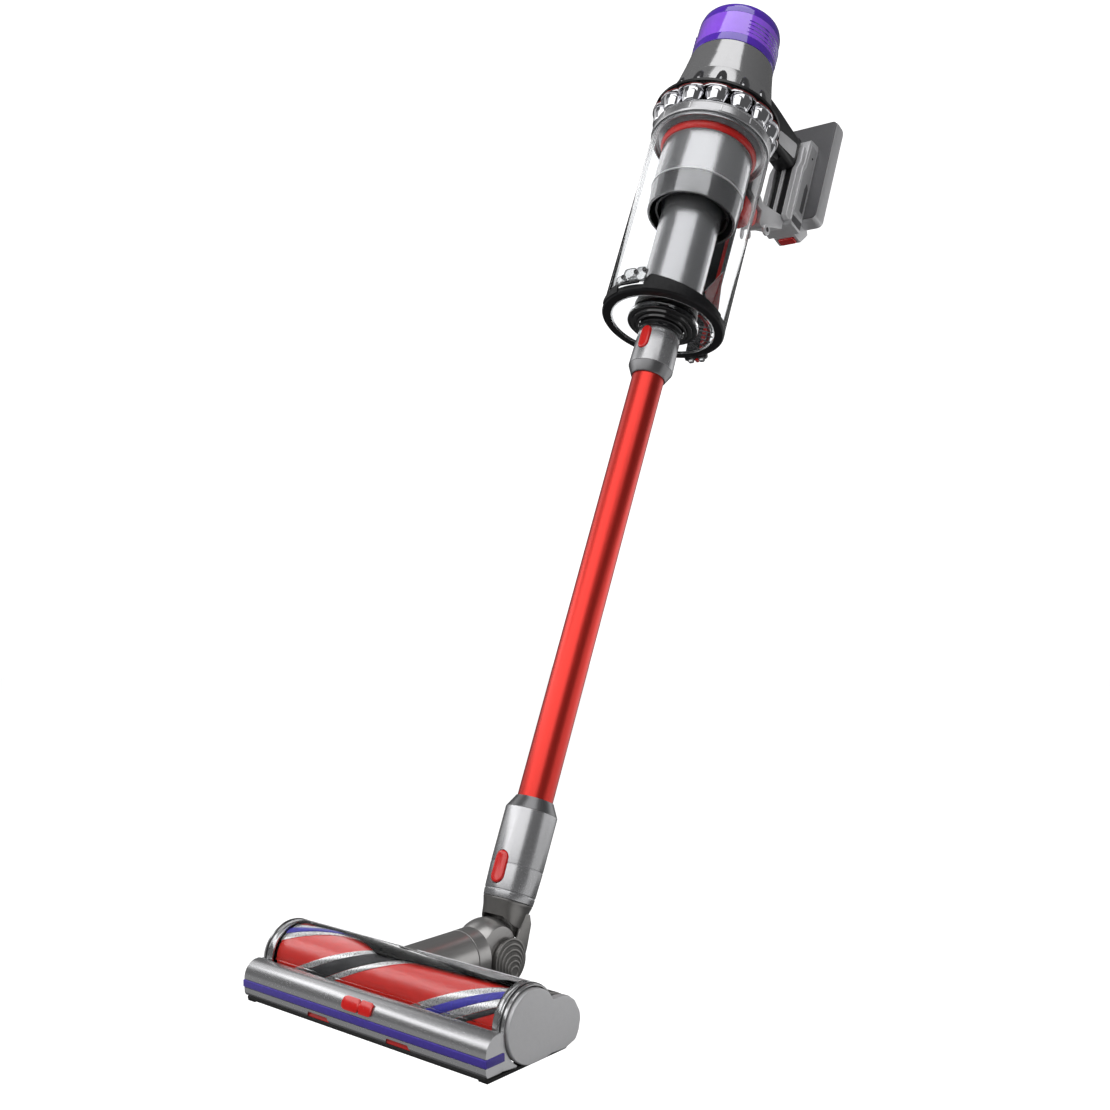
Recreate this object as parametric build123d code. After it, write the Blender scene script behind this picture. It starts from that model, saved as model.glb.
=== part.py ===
from build123d import *
import os
import math

# Cordless stick vacuum cleaner, leaning back on its floor head.
# Frame: origin on the floor under the roller's axis, +X along the floor head,
# -Y towards the front bar, +Z up. Millimetres.

# ---------------------------------------------------------------- dimensions
LEAN = 23.7              # wand's lean from the vertical, degrees
PIV_Y, PIV_Z = 131.0, 41.0   # where the wand's axis meets the neck's axis
PIV_S = -10.0            # elbow pivot, along the wand's axis
BALL_Y, BALL_Z = 116.0, 42.5     # elbow ball
BALL_R = 30.5
BALL_HALF = 18.6         # half width of the ball between the fork arms
ELBOW_BORE = 15.0
ARM_OUT = 22.6           # outside of the fork arms
DUCT_R, DUCT_BORE = 27.0, 20.0   # neck duct

ROLL_Z = 36.0            # roller axis height
ROLL_R = 27.5            # roller tube radius
ROLL_IN = 20.5
ROLL_HALF = 146.0
CHAMBER_R = 30.6
COVER_R = 33.2           # clear cover outer radius
HEAD_HALF = 152.0        # housing half length
CAP_HALF = 162.0         # outside of the end caps
BAR_HALF = 159.0
WHEEL_R = 9.0
WHEEL_X, WHEEL_Y = 74.0, 55.0

WAND_R, WAND_IN = 19.0, 17.2
WAND_LO, WAND_HI = 98.0, 664.0
COLLAR_R = 27.6
COL_LO, COL_HI = 56.0, 150.5     # lower collar
UCOL_LO, UCOL_HI = 655.0, 713.0  # upper collar

BIN_R, BIN_IN = 74.0, 71.6
BIN_LO, BIN_HI = 736.5, 983.5
DUCTB_R = 37.0           # central duct in the bin
SKIRT_Z = 880.0
SHROUD_LO, SHROUD_HI = 913.0, 972.0
SHROUD_R = 57.0
SEAL_R = 59.3
TIER_LO, TIER_MID, TIER_HI = 1000.0, 1026.0, 1060.0
N_LOW, N_UP = 14, 14     # cyclones in each tier
CYC_A = 20.0             # angle of the first cyclone, degrees
FILT_LO, FILT_HI = 1113.0, 1172.0
FILT_R = 54.0

GRIP_D0, GRIP_D1 = 50.0, 162.0
GRIP_Z = 1105.0
BATT_D = 172.4
CLEAR = 0.35             # gap between parts that move past each other
RUN = 0.05               # running clearance on pins and spindles

os.makedirs("parts", exist_ok=True)
t = math.radians(LEAN)
AX = (0, math.sin(t), math.cos(t))
W = Plane(origin=(0, PIV_Y, PIV_Z), x_dir=(1, 0, 0), z_dir=AX).location


# ---------------------------------------------------------------- helpers
def rev(pts):
    return revolve(make_face(Polyline(*[(r, 0, z) for r, z in pts], close=True)), Axis.Z)


def cyl(r, z0, z1, x=0, y=0):
    return Pos(x, y, (z0 + z1) / 2) * Cylinder(r, z1 - z0)


def tube(ro, ri, z0, z1):
    return cyl(ro, z0, z1) - cyl(ri, z0 - 1, z1 + 1)


def box(x0, x1, y0, y1, z0, z1):
    return Pos((x0 + x1) / 2, (y0 + y1) / 2, (z0 + z1) / 2) * Box(x1 - x0, y1 - y0, z1 - z0)


def cylx(r, x0, x1, y, z):
    return Pos((x0 + x1) / 2, y, z) * Rot(0, 90, 0) * Cylinder(r, x1 - x0)


def cyly(r, y0, y1, x, z):
    return Pos(x, (y0 + y1) / 2, z) * Rot(90, 0, 0) * Cylinder(r, y1 - y0)


def slab(pts, x0, x1):
    f = make_face(Polyline(*[(x0, y, z) for y, z in pts], close=True))
    return extrude(f, amount=x1 - x0, dir=(1, 0, 0))


def soft(p, r, axis=None):
    try:
        es = p.edges() if axis is None else p.edges().filter_by(axis)
        return fillet(es, r)
    except Exception:
        return p


def put(name, shape, local=False):
    s = W * shape if local else shape
    sol = s.solids()
    if len(sol) > 1:
        s = Compound(children=list(sol))
    else:
        s = sol[0]
    export_step(s, "parts/%s.step" % name)
    print("%-20s solids %d  vol %.0f" % (name, len(sol), sum(q.volume for q in sol)))


# ---------------------------------------------------------------- floor head
# rear cover over the back half of the roller, open underneath for two pockets
hp = slab([(4.5, 68.9), (10, 67.6), (18, 63.9), (24, 58.9), (28, 54.5), (34, 52.5), (44, 50.5), (54, 45.5),
           (60.5, 37), (64, 26), (64, 12), (60, 7.5), (24, 7.5), (24, 12), (4.5, 40)], -HEAD_HALF, HEAD_HALF)
hp = hp - cylx(CHAMBER_R, -200, 200, 0, ROLL_Z)
hp = hp - cyly(DUCT_R, 12, 200, 0, PIV_Z)
for sx in (-1, 1):
    hp = hp - box(min(sx * 34, sx * 146), max(sx * 34, sx * 146), 38, 58, 0, 36)
    wx = sx * WHEEL_X
    hp = hp - cylx(WHEEL_R + 1.2, wx - 8.6, wx + 8.6, WHEEL_Y, WHEEL_R)
    for b in (-1, 1):
        hp = hp + box(*sorted((wx + b * 8.6, wx + b * 13)), 50, 60, 7.5, 17)
    hp = hp - cylx(2.5, wx - 12, wx + 12, WHEEL_Y, WHEEL_R)
put("head_housing", hp)

sp = box(-146, 146, 38.2, 63, 4.0, 7.4)
for sx in (-1, 1):
    sp = sp - box(sx * WHEEL_X - 13, sx * WHEEL_X + 13, 42, 70, 0, 20)
for sx in (-1, 1):
    for x in (44, 110, 138):
        sp = sp - cyl(1.6, 0, 20, sx * x, 51)
put("sole_plate", sp)

scr = None
for sx in (-1, 1):
    for x in (44, 110, 138):
        s1 = cyl(1.55, 4.2, 7.2, sx * x, 51) - box(sx * x - 1.2, sx * x + 1.2, 50.7, 51.3, 4.0, 4.8)
        scr = s1 if scr is None else scr + s1
put("sole_screws", scr)

# front bar with the recesses for the stripe, the slider and the gate strip
fb = slab([(-35.5, 38.5), (-43, 39), (-50, 36.5), (-54, 31.5), (-55, 26), (-55, 10), (-53, 7),
           (-47, 6.5), (-36, 6.5), (-33.5, 9), (-33.5, 20), (-35.5, 30)], -BAR_HALF, BAR_HALF)
fb = fb - box(-200, 200, -60, -53.4, 15, 22)
fb = fb - box(-BAR_HALF - 1, -BAR_HALF + 1.6, -60, -38, 15, 22)
fb = fb - box(BAR_HALF - 1.6, BAR_HALF + 1, -60, -38, 15, 22)
fb = fb - box(-35, 35, -60, -48.6, 26.4, 37.6)
fb = fb - box(-96, 96, -60, -47.8, 7.4, 12.4)
put("front_bar", fb)
bs = box(-BAR_HALF, BAR_HALF, -56, -53.4, 15, 22)
for sx in (-1, 1):
    x0, x1 = sorted((sx * (BAR_HALF - 1.6), sx * (BAR_HALF + 0.6)))
    bs = bs + box(x0, x1, -56, -38, 15, 22)
put("bumper_strip", bs)
gl = None
for x in (-136, 0, 136):
    g = box(x - 14, x + 14, -46.5, -36.5, 0, 6.5)
    gl = g if gl is None else gl + g
put("glide_pads", gl)

sl = soft(box(-21, 21, -57.2, -49.0, 27.0, 37.0), 2.4)
sl = sl - box(-1.2, 1.2, -60, -55.8, 20, 40)
put("suction_slider", sl)
gs = box(-78, 78, -52.8, -48.2, 7.9, 11.9)
gs = gs + box(-66, -40, -55.6, -52.8, 7.9, 11.9) + box(40, 66, -55.6, -52.8, 7.9, 11.9)
put("gate_strip", gs)

cv = cylx(COVER_R, -HEAD_HALF, HEAD_HALF, 0, ROLL_Z) - cylx(COVER_R - 2.2, -200, 200, 0, ROLL_Z)
cv = cv & box(-200, 200, -35, 4.2, 39.4, 100)
put("roller_cover", cv)
wp = cylx(COVER_R - 2.3, -HEAD_HALF, HEAD_HALF, 0, ROLL_Z) - cylx(29.6, -200, 200, 0, ROLL_Z)
wp = wp & box(-200, 200, -4.0, 4.2, 50, 80)
put("cover_wiper", wp)


def endcap(sx):
    x0, x1 = sorted((sx * (HEAD_HALF + 0.05), sx * CAP_HALF))
    c = cylx(31.6, x0, x1, 0, 35.0)
    c = c + slab([(-33.5, 9.5), (-8, 4), (20, 3.6), (24.7, 5.2), (42.8, 4.2), (57.6, 8.2), (62, 15.3),
                  (64.2, 24.8), (63.3, 31.3), (56.4, 42.5), (47.7, 48.6), (36.7, 50.9), (29, 50.6), (20, 52),
                  (0, 40), (-33.5, 19.5)], x0, x1)
    return c


put("end_caps", endcap(1) + endcap(-1))

# roller: fluff tube, strips, end hubs on fixed spindles, motor inside
put("roller_tube", cylx(ROLL_R, -ROLL_HALF, ROLL_HALF, 0, ROLL_Z) - cylx(ROLL_IN, -200, 200, 0, ROLL_Z))


def strips(a0, width, h):
    out = None
    for k in range(4):
        a = math.radians(a0 + 90 * k)
        b = Pos(0, 0, 0) * Box(2 * ROLL_HALF, width, h)
        b = Pos(0, 0, ROLL_R + h / 2 - 0.0) * b
        b = b - cylx(ROLL_R, -300, 300, 0, 0)
        b = Pos(0, 0, ROLL_Z) * (Rot(math.degrees(a), 0, 0) * b)
        out = b if out is None else out + b
    return out


put("felt_strips", strips(0, 9.0, 1.2))
put("bristle_strips", strips(45, 3.0, 1.4))
hubs = None
spin = None
for sx in (-1, 1):
    x0, x1 = sorted((sx * 136, sx * ROLL_HALF))
    h = cylx(ROLL_IN, x0, x1, 0, ROLL_Z) - cylx(6.0 + RUN, -300, 300, 0, ROLL_Z)
    hubs = h if hubs is None else hubs + h
    x0, x1 = sorted((sx * 130, sx * (HEAD_HALF + 0.05)))
    s = cylx(6.0, x0, x1, 0, ROLL_Z)
    spin = s if spin is None else spin + s
put("roller_hubs", hubs)
put("roller_motor", cylx(18.5, -104, 130, 0, ROLL_Z) + cylx(15, -130, -104, 0, ROLL_Z) + spin)

# rear wheels
ax = None
for sx, nm in ((-1, "wheel_left"), (1, "wheel_right")):
    wx = sx * WHEEL_X
    w = cylx(WHEEL_R, wx - 7, wx + 7, WHEEL_Y, WHEEL_R) - cylx(2.5 + RUN, wx - 20, wx + 20, WHEEL_Y, WHEEL_R)
    put(nm, w)
    a1 = cylx(2.5, wx - 12, wx + 12, WHEEL_Y, WHEEL_R)
    ax = a1 if ax is None else ax + a1
put("wheel_axles", ax)

# neck duct: rolls about Y in the sleeve behind it
nd = cyly(DUCT_R, 12, 83.6, 0, PIV_Z) + cyly(23.0, 83.0, 95.5, 0, PIV_Z)
nd = nd - cyly(DUCT_BORE, 0, 120, 0, PIV_Z) - cylx(CHAMBER_R, -200, 200, 0, ROLL_Z)
nd = max(nd.solids(), key=lambda q: q.volume)
put("neck_duct", nd)

# the pivot sits low and behind the ball's centre; a second sphere fills the back of the bend
PY, PZ = PIV_Y + PIV_S * math.sin(t), PIV_Z + PIV_S * math.cos(t)
ball = Pos(0, BALL_Y, BALL_Z) * Sphere(BALL_R)
sv = cyly(28.6, 84, 103, 0, PIV_Z) - cyly(23.0 + RUN, 80, 96, 0, PIV_Z) - cyly(DUCT_BORE, 80, 120, 0, PIV_Z) - ball
sv = max(sv.solids(), key=lambda q: q.volume)
put("neck_sleeve", sv)

nb = ball + Pos(0, 128, 34) * Sphere(25.5)
nb = nb & box(-BALL_HALF, BALL_HALF, 97, 300, -100, 300)
nb = nb - cyly(ELBOW_BORE, 80, PIV_Y, 0, PIV_Z) - W * cyl(ELBOW_BORE, 0, 60) - Pos(0, PIV_Y, PIV_Z) * Sphere(ELBOW_BORE)
nb = nb - cylx(5.0 + RUN, -60, 60, PY, PZ)
put("elbow_ball", nb)

# fork that carries the ball, in the wand's own axes
fk_ = rev([(17.5, 33), (25.5, 30), (25.8, 40), (26.6, 55.9), (17.5, 55.9)])
for sx in (-1, 1):
    x0, x1 = sorted((sx * (BALL_HALF + CLEAR), sx * ARM_OUT))
    arm = cylx(22.0, x0, x1, 0, PIV_S)
    arm = arm + slab([(-9, -8), (-9, 24), (-6, 34), (-6, 44), (13, 44), (14, 34), (19, 22), (21.5, -8)], x0, x1)
    fk_ = fk_ + arm
fk_ = fk_ - cyl(17.5, 0, 60)
fk_ = fk_ + cylx(5.0, 16.5, ARM_OUT, 0, PIV_S) + cylx(5.0, -ARM_OUT, -16.5, 0, PIV_S)
put("elbow_fork", fk_, True)
dc = None
for sx in (-1, 1):
    d1 = cylx(21.6, *sorted((sx * ARM_OUT, sx * (ARM_OUT + 1.4))), 0, PIV_S)
    for r in (17, 12, 7):
        d1 = d1 + (cylx(r, *sorted((sx * (ARM_OUT + 1.4), sx * (ARM_OUT + 2.6))), 0, PIV_S)
                   - cylx(r - 2.2, *sorted((sx * (ARM_OUT + 0.8), sx * 37)), 0, PIV_S))
    dc = d1 if dc is None else dc + d1
put("elbow_discs", dc, True)

# lower collar, its ring and its release button
lc = rev([(17.5, COL_LO), (26.4, COL_LO), (26.9, 62), (27.4, 80), (COLLAR_R, 137.7), (20.6, COL_HI),
          (WAND_R + CLEAR, COL_HI), (WAND_R + CLEAR, 97.5), (17.5, 97.5)])


def stadium(w, h, z, d0, d1):
    b = box(-w / 2, w / 2, d0, d1, z - h / 2 + w / 2, z + h / 2 - w / 2)
    b = b + cyly(w / 2, d0, d1, 0, z - h / 2 + w / 2) + cyly(w / 2, d0, d1, 0, z + h / 2 - w / 2)
    return b


lc = lc - stadium(17.0, 37.0, 78, -40, -19.8)
lc = lc - tube(40, 26.9, 79.6, 80.4)
put("lower_collar", lc, True)
b1 = stadium(16.0, 36.0, 78, -40, -23.2) & cyl(28.9, 0, 300)
put("lower_button", b1, True)

# wand
put("wand_tube", tube(WAND_R, WAND_IN, WAND_LO, WAND_HI), True)
uc = rev([(WAND_R, UCOL_LO), (20.6, UCOL_LO), (26.4, 667.6), (25.4, UCOL_HI - 2), (24.4, UCOL_HI),
          (16.0, UCOL_HI), (16.0, WAND_HI), (WAND_R, WAND_HI)])
uc = uc - stadium(13.0, 30.0, 695, -40, -18.4)
put("upper_collar", uc, True)
b2 = stadium(12.2, 29.2, 695, -40, -21.6) & cyl(28.0, 600, 800)
put("upper_button", b2, True)
put("wand_spigot", rev([(16.0, UCOL_HI), (21.5, UCOL_HI), (21.5, 738), (20.5, 741), (16.0, 741)]), True)

# ---------------------------------------------------------------- dust bin
put("bin_wall", tube(BIN_R, BIN_IN, BIN_LO, BIN_HI), True)
br = rev([(62.0, 727.6), (72.5, 727.6), (74.3, 729.5), (74.3, BIN_LO), (62.0, BIN_LO)])
put("bin_base_ring", br, True)
bd = rev([(32.5, 729.0), (62.0, 729.0), (62.0, 733.0), (40.0, 733.0), (36.0, 735.8), (32.5, 735.8)])
put("bin_door", bd, True)
hb = box(-14, 14, 74.0, 81.5, 728.5, 736.5) - cyl(74.3, 700, 760) - cylx(2.5, -40, 40, 78, 732)
put("bin_hinge", hb + cylx(2.4, -15, 15, 78, 732), True)
ct = box(-11, 11, -81, -70, 738, 752) - cyl(BIN_R, 700, 800)
put("bin_catch", ct, True)

# ---------------------------------------------------------------- hand unit
idt = rev([(21.9, 714.0), (25.2, 714.0), (25.2, 738.5), (DUCTB_R, 746), (DUCTB_R, SKIRT_Z + 4),
           (DUCTB_R - 2.6, SKIRT_Z + 4), (DUCTB_R - 2.6, 748), (21.9, 742)])
put("inlet_duct", idt, True)
sk = rev([(DUCTB_R, SKIRT_Z + 3), (50, SKIRT_Z + 3), (53, SKIRT_Z), (55, SKIRT_Z), (SHROUD_R + 0.6, SHROUD_LO),
          (SHROUD_R - 3, SHROUD_LO), (52, SKIRT_Z + 6), (DUCTB_R, SKIRT_Z + 6)])
put("shroud_skirt", sk, True)
put("shroud_mesh", tube(SHROUD_R, SHROUD_R - 1.6, SHROUD_LO, SHROUD_HI), True)
put("bin_seal", rev([(43.5, SHROUD_HI), (SHROUD_R, SHROUD_HI), (SEAL_R, 975), (SEAL_R, 981), (43.5, 981)]), True)
put("bin_collar", rev([(43.5, 981), (SEAL_R, 981), (66, 984.2), (75.0, 984.2), (75.6, 986), (75.6, 996), (73, TIER_LO),
                       (43.5, TIER_LO)]), True)

cl = None
for k in range(N_LOW):
    a = 2 * math.pi * k / N_LOW + math.radians(CYC_A)
    c = Pos(66.5 * math.cos(a), 66.5 * math.sin(a), TIER_LO + 12) * Cone(10.6, 14.6, 24)
    cl = c if cl is None else cl + c
put("cyclones_lower", cl, True)
put("pinstripe_ring", tube(81.9, 80.4, TIER_LO + 24.4, TIER_LO + 27.0), True)
cu = None
for k in range(N_UP):
    a = 2 * math.pi * k / N_UP + math.radians(CYC_A)
    c = Pos(59.0 * math.cos(a), 59.0 * math.sin(a), TIER_LO + 27.5 + 16) * Cone(10.6, 7.2, 32)
    cu = c if cu is None else cu + c
put("cyclones_upper", cu, True)

HZ = TIER_LO + 59.5
# inner frame: the post behind the shroud, the plate between the tiers and the motor's cradle
fr = tube(46, 43.5, SKIRT_Z + 6, SHROUD_HI)
fr = fr + tube(46, 43.5, TIER_LO, HZ) + tube(80.4, 27, TIER_LO + 24, TIER_LO + 27.5) + tube(44, 27, HZ - 8, HZ)
put("inner_frame", fr, True)
mh = rev([(43.5, HZ), (68.0, HZ), (67.0, HZ + 5), (62.0, HZ + 10), (54.0, FILT_LO - 0.4), (30.0, FILT_LO - 0.4), (30, FILT_LO - 4.4),
          (50.0, FILT_LO - 4.4), (57.0, HZ + 9), (57, HZ + 4), (43.5, HZ + 4)])
put("motor_housing", mh, True)
put("motor", cyl(27, HZ - 40, HZ + 18) + cyl(4, HZ + 18, HZ + 24), True)
im = cyl(10, HZ + 20, HZ + 34) - cyl(4.0 + RUN, HZ, HZ + 24.3)
for k in range(9):
    im = im + (Rot(0, 0, 40 * k) * box(8, 27, -0.8, 0.8, HZ + 21, HZ + 32))
im = im + tube(28, 9, HZ + 19.5, HZ + 21)
put("impeller", im, True)

fs = tube(FILT_R, FILT_R - 2.4, FILT_LO, FILT_LO + 50)
fs = fs + rev([(39.2, FILT_HI - 4), (FILT_R - 2.4, FILT_LO + 48), (FILT_R, FILT_LO + 50), (FILT_R - 1, FILT_HI - 5), (FILT_R - 5, FILT_HI), (39.2, FILT_HI)])
put("filter_shell", fs, True)
pts = []
NP = 48
for k in range(2 * NP):
    r = 48.5 if k % 2 else 43.0
    a = math.pi * k / NP
    pts.append((r * math.cos(a), r * math.sin(a)))
pl = extrude(Pos(0, 0, FILT_LO + 3) * make_face(Polyline(*[(x, y) for x, y in pts], close=True)), amount=40)
pl = pl - cyl(40.5, 1000, 1300)
pl = pl + tube(FILT_R - 2.4, 40.5, FILT_LO + 0.6, FILT_LO + 3)
put("filter_pleats", pl, True)
# screen on a hollow post that stands on the motor housing inside the filter
ds = tube(34, 31.5, FILT_LO - 0.4, FILT_HI - 5) + cyl(38.6, FILT_HI - 6, FILT_HI) - cyl(7.6, FILT_HI - 4.2, FILT_HI + 5, 0, 24)
put("display", ds, True)
put("mode_button", cyl(7.2, FILT_HI - 2.4, FILT_HI + 0.8, 0, 24), True)

# ---------------------------------------------------------------- handle
rn = box(-15, 15, 60, 108, 978, 1078)
rn = rn - cyl(76.4, 900, 984.2) - cyl(75.6, 984.2, 1000) - cyl(82.3, 1000, TIER_LO + 30) - cyl(71.5, 1000, HZ)
rn = rn - rev([(0, 1000), (68.0, 1000), (68.0, HZ), (67.0, HZ + 5), (62.0, HZ + 10), (54.0, FILT_LO - 0.4), (0, FILT_LO - 0.4)])
rn = rn - box(-5.5, 5.5, 92, 101, 970, 1012)
put("runner", rn, True)
lv = soft(box(-11, 11, 82, 117, 946, 977), 3.0)
lv = lv + box(-5, 5, 92.5, 100.5, 970, 997)
put("bin_lever", lv, True)

gr = extrude(Plane(origin=(0, GRIP_D0, GRIP_Z), x_dir=(1, 0, 0), z_dir=(0, 1, 0)) * RectangleRounded(33, 52, 14), amount=GRIP_D1 - GRIP_D0)
gr = gr - rev([(0, 1000), (68.0, 1000), (68.0, HZ), (67.0, HZ + 5), (62.0, HZ + 10), (54.0, FILT_LO - 0.4), (54.4, FILT_LO - 0.4), (54.4, 1200), (0, 1200)])
gr = gr - box(-15.05, 15.05, 50, 108.05, 1000, 1078.05)
gr = gr - box(-7.6, 7.6, 109.5, 138, 1060, 1100) + cylx(1.5, -8.6, 8.6, 113.5, 1091)
put("grip", gr, True)
tr = box(-7, 7, 110.5, 134, 1070, 1090)
tr = soft(tr, 2.5, Axis.X)
tr = tr + cylx(2.4, -7.6, 7.6, 113.5, 1091) + box(-7, 7, 111.2, 115.8, 1085, 1091)
tr = tr - cylx(1.5 + RUN, -20, 20, 113.5, 1091)
put("trigger", tr & box(-7.2, 7.2, 0, 300, 0, 2000), True)

hs = box(-19, 19, GRIP_D1, 172, 1003, 1134)
hs = soft(hs, 3.0, Axis.Y)
put("handle_rail", hs, True)
bg = slab([(108, 978.2), (108, 996), (118, 989), (162, 1003), (172, 1003), (172, 985), (150, 973), (128, 957),
           (119.5, 960), (119.5, 978.2)], -13, 13)
put("bridge", bg, True)

bb = box(-23.5, 23.5, BATT_D, 200, 996, 1139)
bb = soft(bb, 4.0, Axis.Z)
bb = bb - box(-30, 30, 170, 181.2, 1091, 1150)
put("battery_block", bb, True)
# wide plate and the foot below it that holds the release button
bsl = slab([(200, 1020), (200, 1180), (206, 1184), (226, 1184), (226, 1018), (214, 1018)], -43, 43)
bsl = soft(bsl, 7.0, Axis.Y)
bsl = bsl + slab([(200, 1024), (200, 996), (218, 996), (231, 1017), (225, 1024)], -16.5, 16.5)
bsl = bsl - box(-12.4, 12.4, 203.6, 216.4, 980, 1007.6)
put("battery_slab", bsl, True)
put("battery_button", soft(box(-12, 12, 204, 216, 993.6, 1004.6), 1.8), True)
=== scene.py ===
import bpy, bmesh, math
from mathutils import Vector, Matrix


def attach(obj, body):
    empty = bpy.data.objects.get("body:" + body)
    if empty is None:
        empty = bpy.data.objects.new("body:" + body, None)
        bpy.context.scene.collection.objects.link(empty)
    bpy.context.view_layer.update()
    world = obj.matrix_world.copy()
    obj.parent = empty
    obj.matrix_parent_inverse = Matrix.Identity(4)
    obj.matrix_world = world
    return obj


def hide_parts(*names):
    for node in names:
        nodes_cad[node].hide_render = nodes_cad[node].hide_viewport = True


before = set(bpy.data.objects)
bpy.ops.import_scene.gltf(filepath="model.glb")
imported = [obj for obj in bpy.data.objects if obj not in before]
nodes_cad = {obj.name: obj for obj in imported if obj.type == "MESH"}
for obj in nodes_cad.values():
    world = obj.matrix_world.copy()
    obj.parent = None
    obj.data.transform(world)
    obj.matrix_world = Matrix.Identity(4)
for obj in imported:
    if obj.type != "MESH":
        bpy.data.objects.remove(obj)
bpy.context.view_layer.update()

scene = bpy.context.scene

# ------------------------------------------------------------------ frames
T = math.radians(23.7)
S, C = math.sin(T), math.cos(T)
WAND = Matrix(((1, 0, 0, 0), (0, C, S, 0.131), (0, -S, C, 0.041), (0, 0, 0, 1)))
WORLD = Matrix.Identity(4)


def loc(x, d, s):
    return WAND @ Vector((x * .001, d * .001, s * .001))


# ------------------------------------------------------------------ mesh helpers
def finish_mesh(name, bm, M, mat, body, repl=(), sharp=32):
    bmesh.ops.recalc_face_normals(bm, faces=bm.faces)
    for v in bm.verts:
        v.co = M @ (v.co * .001)
    me = bpy.data.meshes.new(name)
    bm.to_mesh(me)
    bm.free()
    me.shade_smooth()
    me.set_sharp_from_angle(angle=math.radians(sharp))
    ob = bpy.data.objects.new(name, me)
    scene.collection.objects.link(ob)
    me.materials.append(mat)
    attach(ob, body)
    if repl:
        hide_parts(*repl)
    return ob


def rnd(pts, r, seg=4, closed=True):
    """rounds the corners of a 2D polyline"""
    n = len(pts)
    out = []
    for i in range(n):
        p = Vector(pts[i][:2])
        rr = pts[i][2] if len(pts[i]) > 2 else r
        if (not closed and i in (0, n - 1)) or rr <= 0:
            out.append((p.x, p.y))
            continue
        a = Vector(pts[i - 1][:2])
        b = Vector(pts[(i + 1) % n][:2])
        u, w = a - p, b - p
        lu, lw = u.length, w.length
        if lu < 1e-6 or lw < 1e-6:
            continue
        u /= lu
        w /= lw
        ca = max(-1, min(1, u.dot(w)))
        ang = math.acos(ca)
        if ang > math.pi - .02:
            out.append((p.x, p.y))
            continue
        tl = min(rr / math.tan(ang / 2), .48 * lu, .48 * lw)
        p0, p1 = p + u * tl, p + w * tl
        for k in range(seg + 1):
            q = k / seg
            v = p0 * (1 - q) ** 2 + p * 2 * q * (1 - q) + p1 * q * q
            out.append((v.x, v.y))
    return out


def lathe_bm(prof, n=96, axis="z", closed=True, bm=None):
    """turns a profile of (radius, height) about an axis; u,v in mm on a UV map"""
    bm = bm or bmesh.new()
    uv = bm.loops.layers.uv.get("uv") or bm.loops.layers.uv.new("uv")
    rings = []
    arc = [0]
    for i in range(1, len(prof)):
        arc.append(arc[-1] + math.hypot(prof[i][0] - prof[i - 1][0], prof[i][1] - prof[i - 1][1]))
    rref = max(p[0] for p in prof)

    def co(r, z, t):
        x, y = r * math.cos(t), r * math.sin(t)
        return {"z": (x, y, z), "x": (z, x, y), "y": (x, z, y)}[axis]
    for r, z in prof:
        if r < 1e-6:
            rings.append([bm.verts.new(co(0, z, 0))])
        else:
            rings.append([bm.verts.new(co(r, z, 2 * math.pi * k / n)) for k in range(n)])
    m = len(prof)
    for i in range(m if closed else m - 1):
        A, B = rings[i], rings[(i + 1) % m]
        va, vb = arc[i], arc[i + 1] if i + 1 < m else arc[i] + 1
        for k in range(n):
            k2 = (k + 1) % n
            if len(A) == 1 and len(B) == 1:
                continue
            if len(A) == 1:
                vs, us = [A[0], B[k2], B[k]], [(k, va), (k + 1, vb), (k, vb)]
            elif len(B) == 1:
                vs, us = [A[k], A[k2], B[0]], [(k, va), (k + 1, va), (k, vb)]
            else:
                vs, us = [A[k], A[k2], B[k2], B[k]], [(k, va), (k + 1, va), (k + 1, vb), (k, vb)]
            try:
                f = bm.faces.new(vs)
            except ValueError:
                continue
            for l, (a, b) in zip(f.loops, us):
                l[uv].uv = (a * 2 * math.pi * rref / n, b)
    return bm


def lathe(name, prof, mat, body, repl=(), M=WAND, r=.8, n=96, axis="z", closed=True, sharp=32, offs=None):
    bm = lathe_bm(rnd(prof, r, 4, closed), n, axis, closed)
    if offs:
        for v in bm.verts:
            v.co += Vector(offs)
    return finish_mesh(name, bm, M, mat, body, repl, sharp)


def prism_bm(poly, h0, h1, bev=1.0, plane="x", seg=3, bm=None):
    """extrudes a 2D outline; plane x: outline (y,z) along x, y: outline (x,z) along y, z: outline (x,y) along z"""
    own = bmesh.new()

    def co(a, b, h):
        return {"x": (h, a, b), "y": (a, h, b), "z": (a, b, h)}[plane]
    lo = [own.verts.new(co(a, b, h0)) for a, b in poly]
    hi = [own.verts.new(co(a, b, h1)) for a, b in poly]
    n = len(poly)
    f0 = own.faces.new(lo)
    f1 = own.faces.new(hi)
    for i in range(n):
        own.faces.new([lo[i], lo[(i + 1) % n], hi[(i + 1) % n], hi[i]])
    bmesh.ops.recalc_face_normals(own, faces=own.faces)
    if bev > 0:
        es = list(set(list(f0.edges) + list(f1.edges)))
        bmesh.ops.bevel(own, geom=es, offset=bev, offset_type="OFFSET", segments=seg, profile=.5, affect="EDGES", clamp_overlap=True)
    if bm is None:
        return own
    me = bpy.data.meshes.new("tmp")
    own.to_mesh(me)
    own.free()
    bm.from_mesh(me)
    bpy.data.meshes.remove(me)
    return bm


def prism(name, poly, h0, h1, mat, body, repl=(), M=WORLD, bev=1.0, r=2.0, plane="x", sharp=32):
    bm = prism_bm(rnd(poly, r), h0, h1, bev, plane)
    return finish_mesh(name, bm, M, mat, body, repl, sharp)


def boxpts(a0, a1, b0, b1):
    return [(a0, b0), (a1, b0), (a1, b1), (a0, b1)]


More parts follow.
